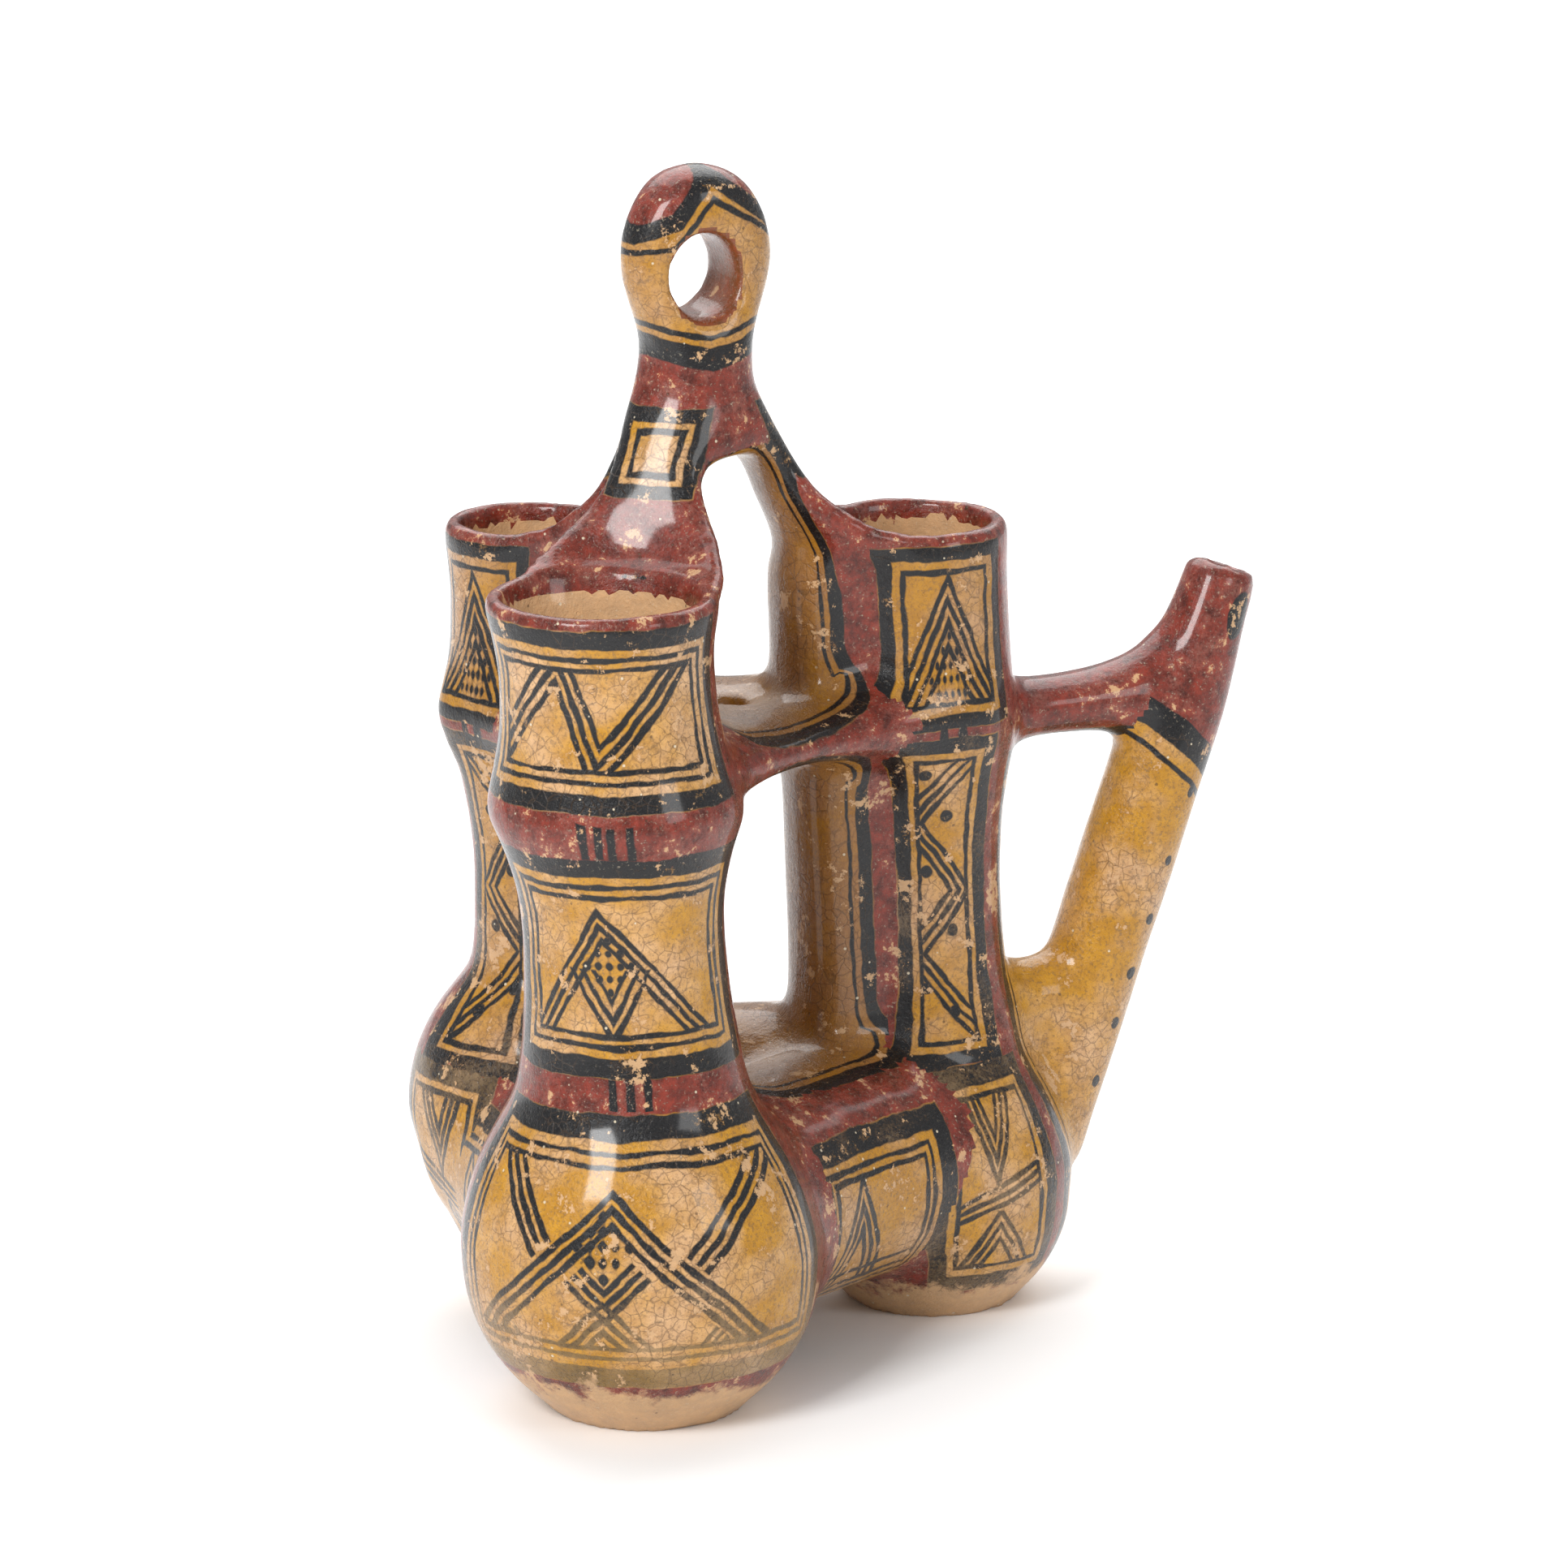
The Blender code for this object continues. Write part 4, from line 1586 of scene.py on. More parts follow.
PAIRS = ((FRONT, BACK), (BACK, SPOUTED), (FRONT, SPOUTED))
FRONT_ROWS = (Row(Zone.FRONT_NECK, 171.0, 243.0, -90.0, 82.0),
              Row(Zone.FRONT_WAIST, 99.5, 171.0, -90.0, 88.0),
              Row(Zone.FRONT_BELLY, 4.0, 99.5, -90.0, 84.0))
SIDE_ROWS = (Row(Zone.SIDE_NECK, 184.5, 248.0, -25.0, 70.0),
             Row(Zone.SIDE_WAIST, 80.5, 184.5, -25.0, 70.0),
             Row(Zone.SIDE_BELLY, 4.0, 80.5, -12.0, 75.0))
FRONT_NECK = Panel(
    0.567, -84.0, 73.0, 187.5, 241.0, border=5.5, motifs=(
        Chain(((-65.0, 203.7), (-24.0, 231.5), (-6.0, 200.5), (46.0, 231.5)), gap=3.1, width=2.0),
        Strokes((-14.0, -7.0, -1.0, 8.0), 174.0, 184.5)),
    bands=((160.0, 174.0),))
FRONT_WAIST = Panel(
    0.550, -78.0, 80.0, 108.0, 174.0, border=6.0, motifs=(
        Chain(((-58.0, 119.0), (-12.3, 157.5), (52.0, 119.0)), shift=1.0, width=1.7),
        Checks((-8.0, 141.0), 8.4, 9.6, cells=5.0),
        Chain(((-27.5, 138.0), (-7.5, 119.0), (12.0, 138.0)), shift=-1.0, gap=2.9, high=140.0),
        Strokes((-9.0, 0.0, 9.0), 90.0, 108.0)),
    bands=((80.0, 98.0),))
BELLY_PEAK = ((-74.0, 24.0), (-8.0, 77.5), (56.0, 24.0))
FRONT_BELLY = Panel(
    0.907, -80.0, 78.0, 19.0, 97.8, border=7.0, thin_paint=0.15, motifs=(
        Chain(BELLY_PEAK, shift=1.0, width=2.0, gap=3.3),
        Checks((-11.0, 62.5), 10.0, 10.8, cells=5.0),
        Chain(((-38.0, 73.0), (-11.0, 49.4), (15.0, 73.0)), shift=1.0, gap=3.0, width=1.9,
              under=BELLY_PEAK, under_by=9.5),
        Chain(((-29.0, 31.0), (-11.5, 46.0), (6.0, 31.0)), count=4, shift=1.0, gap=3.0, width=1.9,
              low=28.5),
        Chain(((-58.0, 42.0), (-38.0, 24.0)), gap=2.8, low=29.0, under=BELLY_PEAK, under_by=9.5),
        Chain(((17.0, 30.0), (32.0, 44.0), (47.0, 30.0)), count=4, shift=1.0, gap=2.6, width=1.4,
              low=28.5, under=BELLY_PEAK, under_by=8.5),
        Chain(((-66.0, 94.0), (-41.0, 70.5), (-20.0, 46.0)), gap=3.3, width=1.9,
              under=BELLY_PEAK[::-1], under_by=2.0),
        Chain(((4.0, 44.5), (37.0, 71.0), (70.0, 90.0)), gap=3.4, width=2.0,
              under=BELLY_PEAK[::-1], under_by=2.0)), worn_below=58.0)
SIDE_NECK = Panel(
    0.506, -22.0, 63.0, 186.0, 241.5, border=4.5, lines=1, motifs=(
        Chain(((-12.0, 196.0), (20.7, 232.0), (50.0, 196.0)), shift=1.0, count=4, gap=2.8),
        Checks((20.5, 201.0), 7.5, 15.0, cells=7.0),
        Strokes((14.0, 25.0), 178.0, 188.0, width=2.6)))
SIDE_WAIST = Panel(
    0.436, -20.0, 50.0, 80.0, 183.0, border=4.8, lines=1, line_gap=2.6, motifs=(
        Chain(((31.0, 176.0), (-8.0, 156.0), (27.0, 134.0), (-8.0, 115.0), (33.0, 92.0)), gap=2.6),
        Dots(((2.0, 171.0), (18.0, 158.0), (2.0, 140.0), (20.0, 122.0), (0.0, 104.0), (20.0, 97.0)),
             radius=2.0),
        Strokes((14.0, 25.0), 180.0, 190.0, width=2.6)), thin_paint=0.3)
SIDE_BELLY = Panel(
    0.750, -2.0, 62.0, 11.0, 81.0, border=6.0, lines=1, line_gap=2.8,
    thin_paint=0.45, motifs=(
        Chain(((14.0, 77.0), (28.0, 47.0), (44.0, 77.0)), shift=-1.0, gap=2.4, low=46.0),
        Chain(((4.0, 37.0), (60.0, 50.0)), gap=2.8),
        Chain(((8.0, 16.0), (29.0, 38.0), (48.0, 16.0)), shift=1.0, gap=2.6, high=38.0)))
STRAP_SQUARE = Panel(1.0, -13.5, 13.5, 263.5, 288.5, border=4.0, line_gap=2.7,
                     lines=1)
JOINT_PANEL = Panel(
    1.0, 35.0, 103.0, 14.0, 74.0, border=6.5, line_gap=3.0, thin_paint=0.35, motifs=(
        Chain(((48.0, 29.0), (61.0, 61.5), (74.0, 29.0)), shift=1.0, gap=3.0),
        Chain(((48.0, 31.0), (95.0, 31.0)), count=1)))

# Heights at which a leaning jar and a strap are measured, and the height of a tie between two jars.
JAR_SAMPLES = 200
STRAP_SAMPLES = 120
TIE_HEIGHT = 0.1


def read_points(mesh: bpy.types.Mesh) -> np.ndarray:
    """Read a mesh's points.

    Args:
        mesh: the mesh.

    Returns:
        One row for each point.
    """
    points = np.empty(len(mesh.vertices) * 3)
    mesh.vertices.foreach_get("co", points)
    return points.reshape(-1, 3)


def wrapped(turn: np.ndarray) -> np.ndarray:
    """Bring degrees between -180 and 180."""
    return (turn + 180.0) % 360.0 - 180.0


def level_away(points: np.ndarray, heights: np.ndarray, line: Sequence[Vector]) -> np.ndarray:
    """Measure how far points lie from a line that rises through them.

    Args:
        points: places in the pot's own frame.
        heights: heights at which the line is known.
        line: the line's points there.

    Returns:
        Level distances along x and y.
    """
    middle = np.array([point[:2] for point in line])
    at = [np.interp(points[:, 2], heights, middle[:, axis]) for axis in (0, 1)]
    return points[:, :2] - np.stack(at, axis=1)


def jar_place(points: np.ndarray, jar: Jar) -> tuple[np.ndarray, np.ndarray]:
    """Place points round a jar.

    Args:
        points: places in the pot's own frame.
        jar: the jar.

    Returns:
        Degrees to the right of the camera's side, and distance outside the jar's outline.
    """
    heights = np.linspace(0.0, jar.rim_height, JAR_SAMPLES)
    x, y = level_away(points, heights, [jar.axis(height) for height in heights]).T
    outline = np.array([jar.radius(height) for height in heights])
    turn = wrapped(np.degrees(np.arctan2(y, x)) - FRONT_SIDE)
    return turn, np.hypot(x, y) - np.interp(points[:, 2], heights, outline)


def strap_place(points: np.ndarray, strap: Strap) -> tuple[np.ndarray, np.ndarray]:
    """Place points beside a strap.

    Args:
        points: places in the pot's own frame.
        strap: the strap.

    Returns:
        Metres across from the strap's middle, and metres from it towards the pot's middle.
    """
    heights = np.linspace(strap.root_height, strap.top_height, STRAP_SAMPLES)
    away = level_away(points, heights, [strap.centre(height) for height in heights])
    inward = np.array(strap.jar.inward())
    return away[:, 0] * -inward[1] + away[:, 1] * inward[0], away @ inward[:2]


def tie_place(points: np.ndarray, one: Jar, other: Jar) -> tuple[np.ndarray, np.ndarray, float]:
    """Place points beside the line between two jars' axes.

    Args:
        points: places in the pot's own frame.
        one: the first jar.
        other: the second jar.

    Returns:
        Metres along from the first jar, metres outwards from the line, and the line's length.
    """
    start, end = (np.array(jar.axis(TIE_HEIGHT)[:2]) for jar in (one, other))
    length = float(np.linalg.norm(end - start))
    along = (end - start) / length
    outward = np.array((along[1], -along[0]))
    if outward @ (start + end) < 0.0:
        outward = -outward
    away = points[:, :2] - start
    return away @ along, away @ outward, length


def spout_place(points: np.ndarray, spout: Spout) -> tuple[np.ndarray, np.ndarray, np.ndarray]:
    """Place points along and round the spout.

    Args:
        points: places in the pot's own frame.
        spout: the spout.

    Returns:
        Metres along from its foot, metres from its middle line, and degrees to the right of the
        camera's side.
    """
    foot, tip = np.array(spout.line(0.0)), np.array(spout.line(1.0))
    along = (tip - foot) / np.linalg.norm(tip - foot)
    away = points - foot
    share = away @ along
    away = away - share[:, None] * along
    toward = np.array(polar(FRONT_SIDE, 1.0))
    toward -= along * (toward @ along)
    right = np.cross(along, toward)
    turn = np.degrees(np.arctan2(away @ right, away @ toward))
    return share, np.linalg.norm(away, axis=1), turn


@dataclass(frozen=True)
class Decoration:
    """Sorts the vessel's faces into painted zones and lays the paint's coordinates over them.

    A plan is one way to lay the coordinates: round a jar, along a strap, a joint or the spout, over
    the ring, or inwards from the edge of a gap. Lengths are metres and turns are degrees.
    """

    move: Vector
    near: float = 0.0055
    jar_high: float = 0.2480
    lip: float = 0.0030
    inside_share: float = 0.5
    dip_low: float = 0.2385
    gap_turn: float = -24.0
    front_gap_turn: float = 98.0
    gap_low: float = 0.0620
    gap_high: float = 0.2430
    face_heights: tuple[float, ...] = (0.178, 0.205, 0.240, 0.258)
    face_half_widths: tuple[float, ...] = (0.0175, 0.0175, 0.0175, 0.0140)
    face_starts: tuple[float, ...] = (-0.0059, -0.0019, -0.0019, -0.0010)
    rib_half_width: float = 0.0180
    rib_depth: float = 0.0170
    rib_low: float = 0.0600
    hood_low: float = 0.2400
    strap_low: float = 0.2440
    strap_slope: tuple[float, float] = (0.2620, 0.2800)
    strap_facing: float = 0.15
    ring_low: float = 0.2960
    hole_margin: float = 1.17
    joint_high: float = 0.1050
    joint_edge: float = 0.0170
    web_edge: float = 0.0065
    web_reach: float = 0.0300
    reach: float = 0.0075
    least_weight: float = 1e-9
    tube_start: float = 0.0800
    tube_margin: float = 0.0040
    cream_turn: float = 64.0
    cream_start: float = 0.0880
    cream_low: float = 0.0120
    cream_high: float = 0.1800
    cream_line_turn: float = 70.0
    cream_line_radius: float = 0.0260
    cream_gap: float = 0.0200
    cream_gap_gain: float = 2.0
    back_fold: float = 103.0
    hidden_squeeze: float = 1.15

    def side_turn(self, turn: np.ndarray, jar: Jar) -> np.ndarray:
        """Fold a jar's two sides onto the one layout of the side panels.

        Args:
            turn: degrees to the right of the camera's side.
            jar: the jar.

        Returns:
            Degrees on the layout.
        """
        if jar is FRONT:
            return turn
        outward = wrapped(turn + FRONT_SIDE - jar.bearing)
        if jar is SPOUTED:
            return np.where(outward > 0.0, -self.hidden_squeeze, 1.0) * outward - FRONT_SIDE
        return self.back_fold - np.abs(outward)

    def nearness(self, apart: np.ndarray) -> np.ndarray:
        """Tell how much a measure counts at a distance from what it belongs to."""
        return np.exp(-(apart / self.reach) ** 2)

    def insets(self, points: np.ndarray) -> np.ndarray:
        """Measure how far places on the ties lie inside the edges of the gaps' painted borders.

        Each tie and each jar's inner side measures in its own way, and where two meet the
        measures flow into each other.

        Args:
            points: places in the pot's own frame.

        Returns:
            Metres inside the edge.
        """
        z = points[:, 2]
        half_face = np.interp(z, self.face_heights, self.face_half_widths)
        start = np.interp(z, self.face_heights, self.face_starts)
        measures = []
        for jar in JARS:
            gap = jar_place(points, jar)[1]
            across, depth = strap_place(points, Strap(jar))
            beside = np.where(np.abs(across) < self.rib_half_width, gap - self.rib_depth, gap)
            above = np.hypot(across, depth) - self.rib_half_width
            apart = np.maximum(np.where(z > self.hood_low, above, beside), 0.0)
            measures.append((self.nearness(apart) * (z > self.rib_low),
                             half_face - np.abs(across) + depth - start))
        for one, other in PAIRS:
            along, out, length = tie_place(points, one, other)
            off_web = np.abs(z - Web.height)
            thick = Web.half_thickness * (1.0 + Web.deepening * (2.0 * along / length - 1.0) ** 2)
            apart = np.abs(off_web - thick) + np.maximum(np.abs(out) - Web.half_width, 0.0)
            share = self.nearness(apart) * (off_web < self.web_reach)
            share *= np.clip((along - one.ridge) / self.reach, 0.0, 1.0)
            share *= np.clip((length - other.ridge - along) / self.reach, 0.0, 1.0)
            measures.append((share, Web.half_width - self.web_edge - out))
            size = np.hypot(out / Joint.half_width, (z - Joint.height) / Joint.half_height)
            apart = np.abs(size - 1.0) * Joint.half_height
            measures.append((self.nearness(apart) * (z < self.joint_high), self.joint_edge - out))
        total = sum(share * inset for share, inset in measures)
        return total / (sum(share for share, _ in measures) + self.least_weight)

    def plans(self, points: np.ndarray) -> list[np.ndarray]:
        """Lay every plan's coordinates over places.

        Args:
            points: places in the pot's own frame.

        Returns:
            The coordinates, in the order of the plans' numbers.
        """
        z = points[:, 2] / MM
        across = [self.side_turn(jar_place(points, jar)[0], jar) for jar in JARS]
        across += [strap_place(points, Strap(jar))[0] / MM for jar in JARS]
        across += [tie_place(points, *pair)[0] / MM for pair in PAIRS]
        along, _, turn = spout_place(points, Spout(SPOUTED))
        across.append(-FRONT_SIDE - np.abs(wrapped(turn + FRONT_SIDE)))
        across.append(points[:, 0] / MM)
        across.append(self.insets(points) / MM)
        turn, gap = jar_place(points, SPOUTED)
        beyond = np.radians(self.side_turn(turn, SPOUTED) - self.cream_line_turn)
        away = np.clip(gap, 0.0, self.cream_gap) * self.cream_gap_gain
        across.append((away + beyond * self.cream_line_radius) / MM)
        return [np.stack([u, along / MM if place == Plan.SPOUT.value else z], 1)
                for place, u in enumerate(across)]

    def apply(self, body: bpy.types.Object, materials: dict[Zone, bpy.types.Material]) -> None:
        """Sort the faces, lay the coordinates and give each zone its material.

        Args:
            body: the vessel.
            materials: a material for each zone.
        """
        mesh = body.data
        mesh.materials.clear()
        for zone in Zone:
            mesh.materials.append(materials[zone])
        count = len(mesh.polygons)
        centres, normals = np.empty(count * 3), np.empty(count * 3)
        mesh.polygons.foreach_get("center", centres)
        mesh.polygons.foreach_get("normal", normals)
        centres = centres.reshape(-1, 3) - np.array(self.move)
        zones, plan = self.sort(centres, normals.reshape(-1, 3))
        mesh.polygons.foreach_set("material_index", zones)
        corner = np.empty(len(mesh.loops), dtype=np.int32)
        mesh.loops.foreach_get("vertex_index", corner)
        sizes = np.empty(count, dtype=np.int32)
        mesh.polygons.foreach_get("loop_total", sizes)
        laid = np.stack(self.plans(read_points(mesh) - np.array(self.move)))
        place = laid[np.repeat(plan, sizes), corner]
        mesh.uv_layers.new(name="PaintMap").data.foreach_set("uv", place.ravel())

    def sort(self, centres: np.ndarray, normals: np.ndarray) -> tuple[np.ndarray, np.ndarray]:
        """Choose each face's zone and the plan of its coordinates.

        Args:
            centres: middles of the faces in the pot's own frame.
            normals: directions that the faces look in.

        Returns:
            The zones' and the plans' numbers.
        """
        count = len(centres)
        z = centres[:, 2]
        zones = np.full(count, Zone.SLIP.value, dtype=np.int32)
        plan = np.full(count, Plan.GAP.value)
        owner, best = np.full(count, -1), np.full(count, self.near)
        inside = np.zeros(count, dtype=bool)
        turns = []
        for index, jar in enumerate(JARS):
            turn, gap = jar_place(centres, jar)
            turns.append(self.side_turn(turn, jar))
            inside |= (gap < -self.inside_share * jar.wall) & (z < jar.rim_height - self.lip)
            closer = (np.abs(gap) < best) & (z < self.jar_high)
            owner[closer] = index
            best[closer] = np.abs(gap)[closer]
        self.sort_ties(centres, normals, owner < 0, zones, plan)
        self.sort_jars(centres, turns, owner, zones, plan)
        zones[inside & (z < self.dip_low)] = Zone.CLAY.value
        zones[inside & (z >= self.dip_low)] = Zone.SLIP.value
        return zones, plan

    def sort_ties(self, centres: np.ndarray, normals: np.ndarray, tie: np.ndarray,
                  zones: np.ndarray, plan: np.ndarray) -> None:
        """Choose zones and plans for the straps, joints, spout and ring.

        Args:
            centres: middles of the faces in the pot's own frame.
            normals: directions that the faces look in.
            tie: which faces lie on none of the jars.
            zones: the zones' numbers, which are filled in.
            plan: the plans' numbers, which are filled in.
        """
        z = centres[:, 2]
        zones[tie & (z < self.ring_low)] = Zone.INNER.value
        reaches = [np.hypot(*strap_place(centres, Strap(jar))) for jar in JARS]
        chosen = np.argmin(reaches, axis=0)
        for index, jar in enumerate(JARS):
            low, high = (Strap(jar).centre(height) for height in self.strap_slope)
            top = (high - low).cross(UP.cross(jar.inward())).normalized()
            top = np.array(top if top.z > 0.0 else -top)
            outer = tie & (z > self.strap_low) & (z < self.ring_low) & (chosen == index)
            outer &= normals @ top > self.strap_facing
            zones[outer] = Zone.STRAP.value
            plan[outer] = Plan.STRAP.value + index
        for index, pair in enumerate(PAIRS):
            along, out, length = tie_place(centres, *pair)
            side = tie & (z < self.joint_high) & (out > self.joint_edge)
            side &= (along > 0) & (along < length)
            zones[side] = Zone.JOINT.value
            plan[side] = Plan.JOINT.value + index
        away = spout_place(centres, Spout(SPOUTED))[1]
        tube = tie & (away < Spout.tube_radius + self.tube_margin)
        tube &= centres[:, 0] > self.tube_start
        zones[tube] = Zone.SPOUT.value
        plan[tube] = Plan.SPOUT.value
        cream = tie & (centres[:, 0] > self.cream_start) & ~tube
        self.lay_cream(cream, z, zones, plan)
        ring = tie & (z >= self.ring_low)
        zones[ring] = Zone.RING.value
        plan[ring] = Plan.RING.value
        hole_x = centres[:, 0] - polar(Lean.bearing, Lean.stem).x - Finial.hole_x
        hole = np.hypot(hole_x / Finial.hole_half_width,
                        (z - Finial.hole_height) / Finial.hole_half_height) < self.hole_margin
        zones[ring & hole] = Zone.HOLE.value

    def lay_cream(self, where: np.ndarray, z: np.ndarray, zones: np.ndarray,
                  plan: np.ndarray) -> None:
        """Choose the cream side next to the spout for faces between the foot and the bridge.

        Args:
            where: which faces.
            z: the faces' heights.
            zones: the zones' numbers, which are filled in.
            plan: the plans' numbers, which are filled in.
        """
        here = where & (z > self.cream_low) & (z < self.cream_high)
        zones[here] = Zone.SPOUT_SIDE.value
        plan[here] = Plan.SPOUT_SIDE.value

    def sort_jars(self, centres: np.ndarray, turns: list[np.ndarray], owner: np.ndarray,
                  zones: np.ndarray, plan: np.ndarray) -> None:
        """Choose zones and plans for the jars' outsides.

        Args:
            centres: middles of the faces in the pot's own frame.
            turns: for each jar, the faces' degrees on the layout of its panels.
            owner: the number of the jar that each face lies on.
            zones: the zones' numbers, which are filled in.
            plan: the plans' numbers, which are filled in.
        """
        z = centres[:, 2]
        for index, (jar, turn) in enumerate(zip(JARS, turns)):
            mine = owner == index
            plan[mine] = Plan.JAR.value + index
            for row in FRONT_ROWS if jar is FRONT else SIDE_ROWS:
                here = mine & (z / MM > row.low) & (z / MM <= row.high)
                zones[here & (turn > row.left) & (turn < row.right)] = row.zone.value
            if jar is SPOUTED:
                self.lay_cream(mine & (turn > self.cream_turn), z, zones, plan)
            if jar is FRONT:
                facing = np.abs(turn) > self.front_gap_turn
            else:
                facing = turn < self.gap_turn
            facing &= mine & (z > self.gap_low) & (z < self.gap_high)
            zones[facing] = Zone.INNER.value
            plan[facing] = Plan.GAP.value


@dataclass(frozen=True)
class Vessel:
    """The whole pot, fused into one wall of clay: jars, their ties, straps, ring and spout."""

    voxel: float = 0.0020
    smoothing: int = 22
    lip_smoothing: int = 4
    hollow_voxel: float = 0.0018
    kept_faces: float = 0.715
    ground_half_width: float = 0.5
    ground_depth: float = 0.05
    unevenness: float = 0.0004
    unevenness_size: float = 0.030
    finer_share: float = 0.5
    finer_scale: float = 2.3
    flat_foot: float = 0.0006
    back_joint_rise: float = 0.0050
    tie_start: float = 0.0005
    tie_fade: float = 0.0035
    tie_smoothing: int = 70
    tube_margin: float = 0.0015
    rim_height: float = 0.2460
    rim_margin: float = 0.0080
    stem_limit: float = 0.3000
    weight_steps: int = 10

    def build(self) -> bpy.types.Object:
        """Model the clay, hollow it, and leave it a little uneven as hands do.

        Returns:
            The vessel, in the pot's own frame before it is centred.
        """
        straps = [Strap(jar) for jar in JARS]
        webs = [Web(FRONT, BACK), Web(BACK, SPOUTED), Web(SPOUTED, FRONT)]
        raised = Joint.height + self.back_joint_rise
        joints = [Joint(FRONT, BACK), Joint(BACK, SPOUTED, height=raised), Joint(SPOUTED, FRONT)]
        middle = WebMiddle()
        finial = Finial(foot=polar(Lean.bearing, Lean.stem))
        spout = Spout(SPOUTED)
        solids = [piece.clay() for piece in (*JARS, *straps, *webs, *joints, middle, finial)]
        solids += [strap.rib_filling() for strap in straps]
        body = fused("painted_vessel", solids + spout.clay(), self.voxel, self.smoothing)
        self.soften_ties(body, spout)
        hollows = [strap.jar.hollow(strap) for strap in straps]
        hollows += [joint.passage() for joint in joints] + [spout.bore()]
        inside = fused("inside", hollows, self.hollow_voxel, 0)
        cut(body, [inside, finial.hole(), middle.hole(), self.ground()])
        reskin(body, self.voxel, self.lip_smoothing)
        body.modifiers.new("fewer_faces", "DECIMATE").ratio = self.kept_faces
        settle(body)
        self.shape_by_hand(body.data)
        body.data.shade_smooth()
        return body

    def soften_ties(self, body: bpy.types.Object, spout: Spout) -> None:
        """Smooth the ties further where they leave the jars, as a wet thumb rounds a joint.

        Args:
            body: the vessel before it is hollowed.
            spout: the spout, whose tube is left as it is.
        """
        points = read_points(body.data)
        reach = np.min([np.abs(jar_place(points, jar)[1]) for jar in JARS], axis=0)
        weights = np.clip((reach - self.tie_start) / self.tie_fade, 0.0, 1.0)
        around = spout_place(points, spout)[1]
        weights[around < spout.tube_radius + self.tube_margin] = 0.0
        height = points[:, 2]
        off_rim = np.abs(height - self.rim_height) - self.rim_margin
        weights *= np.clip(off_rim / self.rim_margin, 0.0, 1.0)
        weights *= np.clip((self.stem_limit - height) / self.rim_margin, 0.0, 1.0)
        group = body.vertex_groups.new(name="ties")
        for step in range(1, self.weight_steps + 1):
            chosen = np.nonzero(np.round(weights * self.weight_steps) == step)[0]
            group.add(chosen.tolist(), step / self.weight_steps, "REPLACE")
        smooth = body.modifiers.new("thumbed_ties", "SMOOTH")
        smooth.factor = SMOOTHING_FACTOR
        smooth.iterations = self.tie_smoothing
        smooth.vertex_group = group.name
        settle(body)
        body.vertex_groups.clear()

    def ground(self) -> bpy.types.Object:
        """Build a block whose top is the ground, to cut the feet flat.

        Returns:
            The closed solid.
        """
        half = self.ground_half_width
        corners = ring_points(Vector(), EAST, NORTH, half, half, 4)
        sunk = [corner - UP * self.ground_depth for corner in corners]
        return closed_loft("ground", [sunk, corners])

    def shape_by_hand(self, mesh: bpy.types.Mesh) -> None:
        """Push the skin in and out a little, and keep the feet flat.

        Args:
            mesh: the vessel's mesh.
        """
        points = read_points(mesh)
        normals = np.empty(points.size)
        mesh.vertices.foreach_get("normal", normals)
        push = np.empty(len(points))
        for index, point in enumerate(points / self.unevenness_size):
            place = Vector(point)
            finer = noise.noise(place * self.finer_scale)
            push[index] = noise.noise(place) + self.finer_share * finer
        points += normals.reshape(-1, 3) * (push * self.unevenness)[:, None]
        points[:, 2] = np.where(points[:, 2] < self.flat_foot, 0.0, points[:, 2])
        mesh.vertices.foreach_set("co", points.ravel())
        mesh.update()

    def fit(self, body: bpy.types.Object, low: Sequence[float], high: Sequence[float]) -> Vector:
        """Move the vessel into the middle of the model's box.

        Args:
            body: the vessel.
            low: lowest corner of the box.
            high: highest corner of the box.

        Returns:
            How far it moved.
        """
        points = read_points(body.data)
        move = (np.array(low) + np.array(high) - points.min(0) - points.max(0)) / 2.0
        move[2] = 0.0
        points = np.clip(points + move, np.array(low), np.array(high))
        body.data.vertices.foreach_set("co", points.ravel())
        body.data.update()
        return Vector(move)


@dataclass(frozen=True)
class SweepPaper:
    """White uncoated paper off a roll: matt, so that it shows a soft shadow and no gloss."""

    white: str = "#f9f9f9"
    roughness: float = 0.9

    def material(self) -> bpy.types.Material:
        """Build the material.

        Returns:
            The material.
        """
        paper = bpy.data.materials.new("white_paper_sweep")
        paper.use_nodes = True
        shader = paper.node_tree.nodes["Principled BSDF"]
        shader.inputs["Base Color"].default_value = linear(self.white)
        shader.inputs["Roughness"].default_value = self.roughness
        return paper


@dataclass(frozen=True)
class Softbox:
    """Square softbox: its name, where it hangs, the point that it faces, its side and its watts."""

    name: str
    place: tuple[float, float, float]
    aim: tuple[float, float, float]
    side: float
    power: float

    def hang(self) -> None:
        """Hang it in the scene."""
        data = bpy.data.lights.new(self.name, "AREA")
        data.shape = "SQUARE"
        data.size = self.side
        data.energy = self.power
        item = bpy.data.objects.new(self.name, data)
        item.location = self.place
        look = Vector(self.aim) - Vector(self.place)
        item.rotation_euler = look.to_track_quat("-Z", "Y").to_euler()
        bpy.context.scene.collection.objects.link(item)


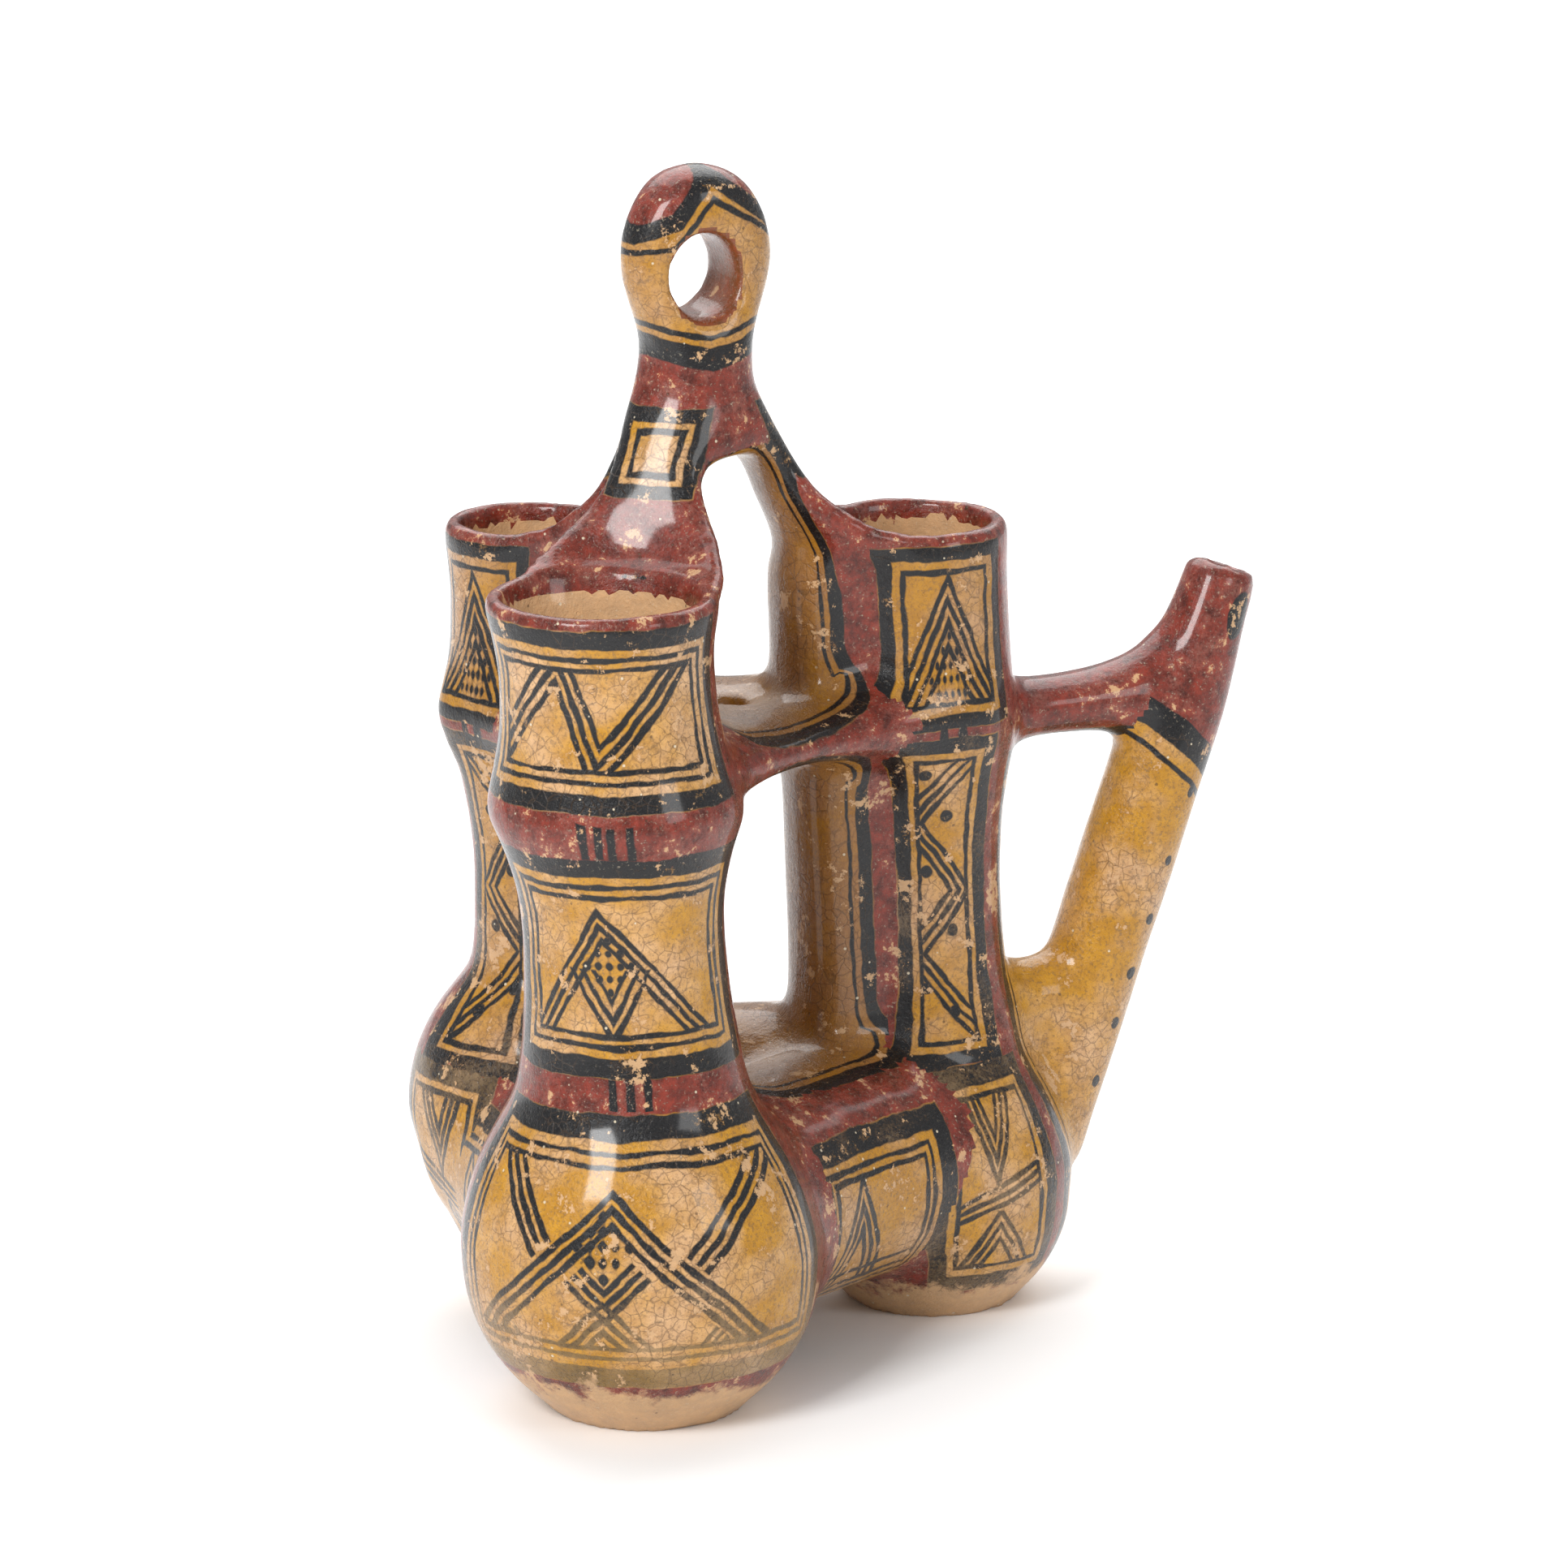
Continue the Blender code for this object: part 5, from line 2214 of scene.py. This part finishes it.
@dataclass(frozen=True)
class Studio:
    """Pale floor, soft light from both sides, and the camera at the photograph's angle."""

    azimuth: float = -27.0
    pitch: float = 14.53
    distance: float = 2.209
    height: float = 0.743
    sideways: float = 0.0234
    focal_pixels: float = 9407.0
    picture_pixels: float = 1932.0
    sensor: float = 36.0
    softboxes: tuple[Softbox, ...] = (
        Softbox("key", (-1.1, -0.7, 1.0), (0.0, 0.0, 0.17), 0.5, 17.0),
        Softbox("fill", (0.6, -1.3, 0.7), (0.0, 0.0, 0.17), 0.5, 4.5),
        Softbox("sweep", (1.0, 1.9, 1.9), (1.0, 1.9, 0.0), 3.4, 105.0))
    room_light: float = 0.44
    floor_half_width: float = 6.0

    def camera(self, move: Vector) -> None:
        """Place the camera, moved with the vessel.

        Args:
            move: how far the vessel was moved.
        """
        turn = math.radians(self.azimuth)
        toward = Vector((math.sin(turn), -math.cos(turn), 0.0))
        right = Vector((math.cos(turn), math.sin(turn), 0.0))
        place = toward * self.distance + UP * self.height + right * self.sideways + move
        pitch = math.radians(self.pitch)
        forward = -toward * math.cos(pitch) - UP * math.sin(pitch)
        up = right.cross(forward)
        turned = Matrix((right, up, -forward)).transposed().to_4x4()
        data = bpy.data.cameras.new("camera")
        data.sensor_width = self.sensor
        data.lens = self.focal_pixels / self.picture_pixels * self.sensor
        item = bpy.data.objects.new("camera", data)
        item.matrix_world = Matrix.Translation(place) @ turned
        bpy.context.scene.collection.objects.link(item)
        bpy.context.scene.camera = item

    def light(self) -> None:
        """Light the vessel and lay the floor."""
        for softbox in self.softboxes:
            softbox.hang()
        world = bpy.data.worlds.new("studio")
        world.use_nodes = True
        background = world.node_tree.nodes["Background"]
        background.inputs["Color"].default_value = (1.0, 1.0, 1.0, 1.0)
        background.inputs["Strength"].default_value = self.room_light
        bpy.context.scene.world = world
        bpy.context.scene.view_settings.view_transform = "Standard"
        half = self.floor_half_width
        mesh = bpy.data.meshes.new("floor")
        mesh.from_pydata([(-half, -half, 0), (half, -half, 0), (half, half, 0), (-half, half, 0)],
                         [], [(0, 1, 2, 3)])
        floor = bpy.data.objects.new("floor", mesh)
        bpy.context.scene.collection.objects.link(floor)
        mesh.materials.append(SweepPaper().material())
        floor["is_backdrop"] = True


def write_sizes(before: object, after: object) -> None:
    """Turn the boxes of the solid model and of the dressed one into lists, which are not kept."""
    {"solids": as_list(before), "dressed": as_list(after)}


def as_list(value: object) -> object:
    """Turn a box of vectors into plain lists of numbers.

    Args:
        value: a number, or vectors nested in any way.

    Returns:
        The same, as floats and lists.
    """
    if hasattr(value, "__len__"):
        return [as_list(item) for item in value]
    return float(value)


def main() -> None:
    """Build and dress the vessel, light it and place the camera."""
    logging.basicConfig(level=logging.INFO, format="%(message)s")
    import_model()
    solids_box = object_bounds()
    low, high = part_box("triple_vase")
    vessel = Vessel()
    body = vessel.build()
    move = vessel.fit(body, low, high)
    log.info("painted_vessel: %d faces, moved %s", len(body.data.polygons), move)
    slip = AgedSlip()
    group = slip.group()
    # Red slip is plain burnished iron red. Each painted one is ochre or cream slip with black
    # lines under the same resin. Inside the gaps and in the ring's hole the ochre is darkened
    # more: resin pooled there, and painted shade for those shadowed recesses.
    # Bare clay is pale pinkish buff and matt, as it left the fire.
    materials = {
        Zone.SLIP: slip.material("red_slip", group),
        Zone.CLAY: slip.material("bare_clay", group, bare=1.0),
        Zone.FRONT_NECK: slip.material("front_neck_paint", group, FRONT_NECK),
        Zone.FRONT_WAIST: slip.material("front_waist_paint", group, FRONT_WAIST),
        Zone.FRONT_BELLY: slip.material("front_belly_paint", group, FRONT_BELLY),
        Zone.SIDE_NECK: slip.material("side_neck_paint", group, SIDE_NECK, amber_and_shade=0.35),
        Zone.SIDE_WAIST: slip.material("side_waist_paint", group, SIDE_WAIST, amber_and_shade=0.15),
        Zone.SIDE_BELLY: slip.material("side_belly_paint", group, SIDE_BELLY),
        # Painted shade: the gaps between the jars are darkened with amber, over real pooled resin.
        Zone.INNER: slip.material("gap_paint", group, GAP_PAINT, amber_and_shade=0.85),
        Zone.STRAP: slip.material("strap_paint", group, STRAP_SQUARE),
        Zone.JOINT: slip.material("joint_paint", group, JOINT_PANEL, amber_and_shade=0.2),
        Zone.SPOUT: slip.material("spout_paint", group, SpoutPaint()),
        Zone.RING: slip.material("ring_paint", group, RingPaint(), amber_and_shade=0.3),
        Zone.SPOUT_SIDE: slip.material("spout_side_paint", group, SPOUT_SIDE_PAINT),
        # Painted shade: the ring's hole is darkened with amber, besides its wear.
        Zone.HOLE: slip.material("shaded_worn_hole", group, amber_and_shade=1.0, ground=0.35),
    }
    Decoration(move).apply(body, materials)
    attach(body, "root")
    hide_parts("triple_vase")
    studio = Studio()
    studio.camera(move)
    studio.light()
    write_sizes(solids_box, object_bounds())


if __name__ == "__main__":
    main()
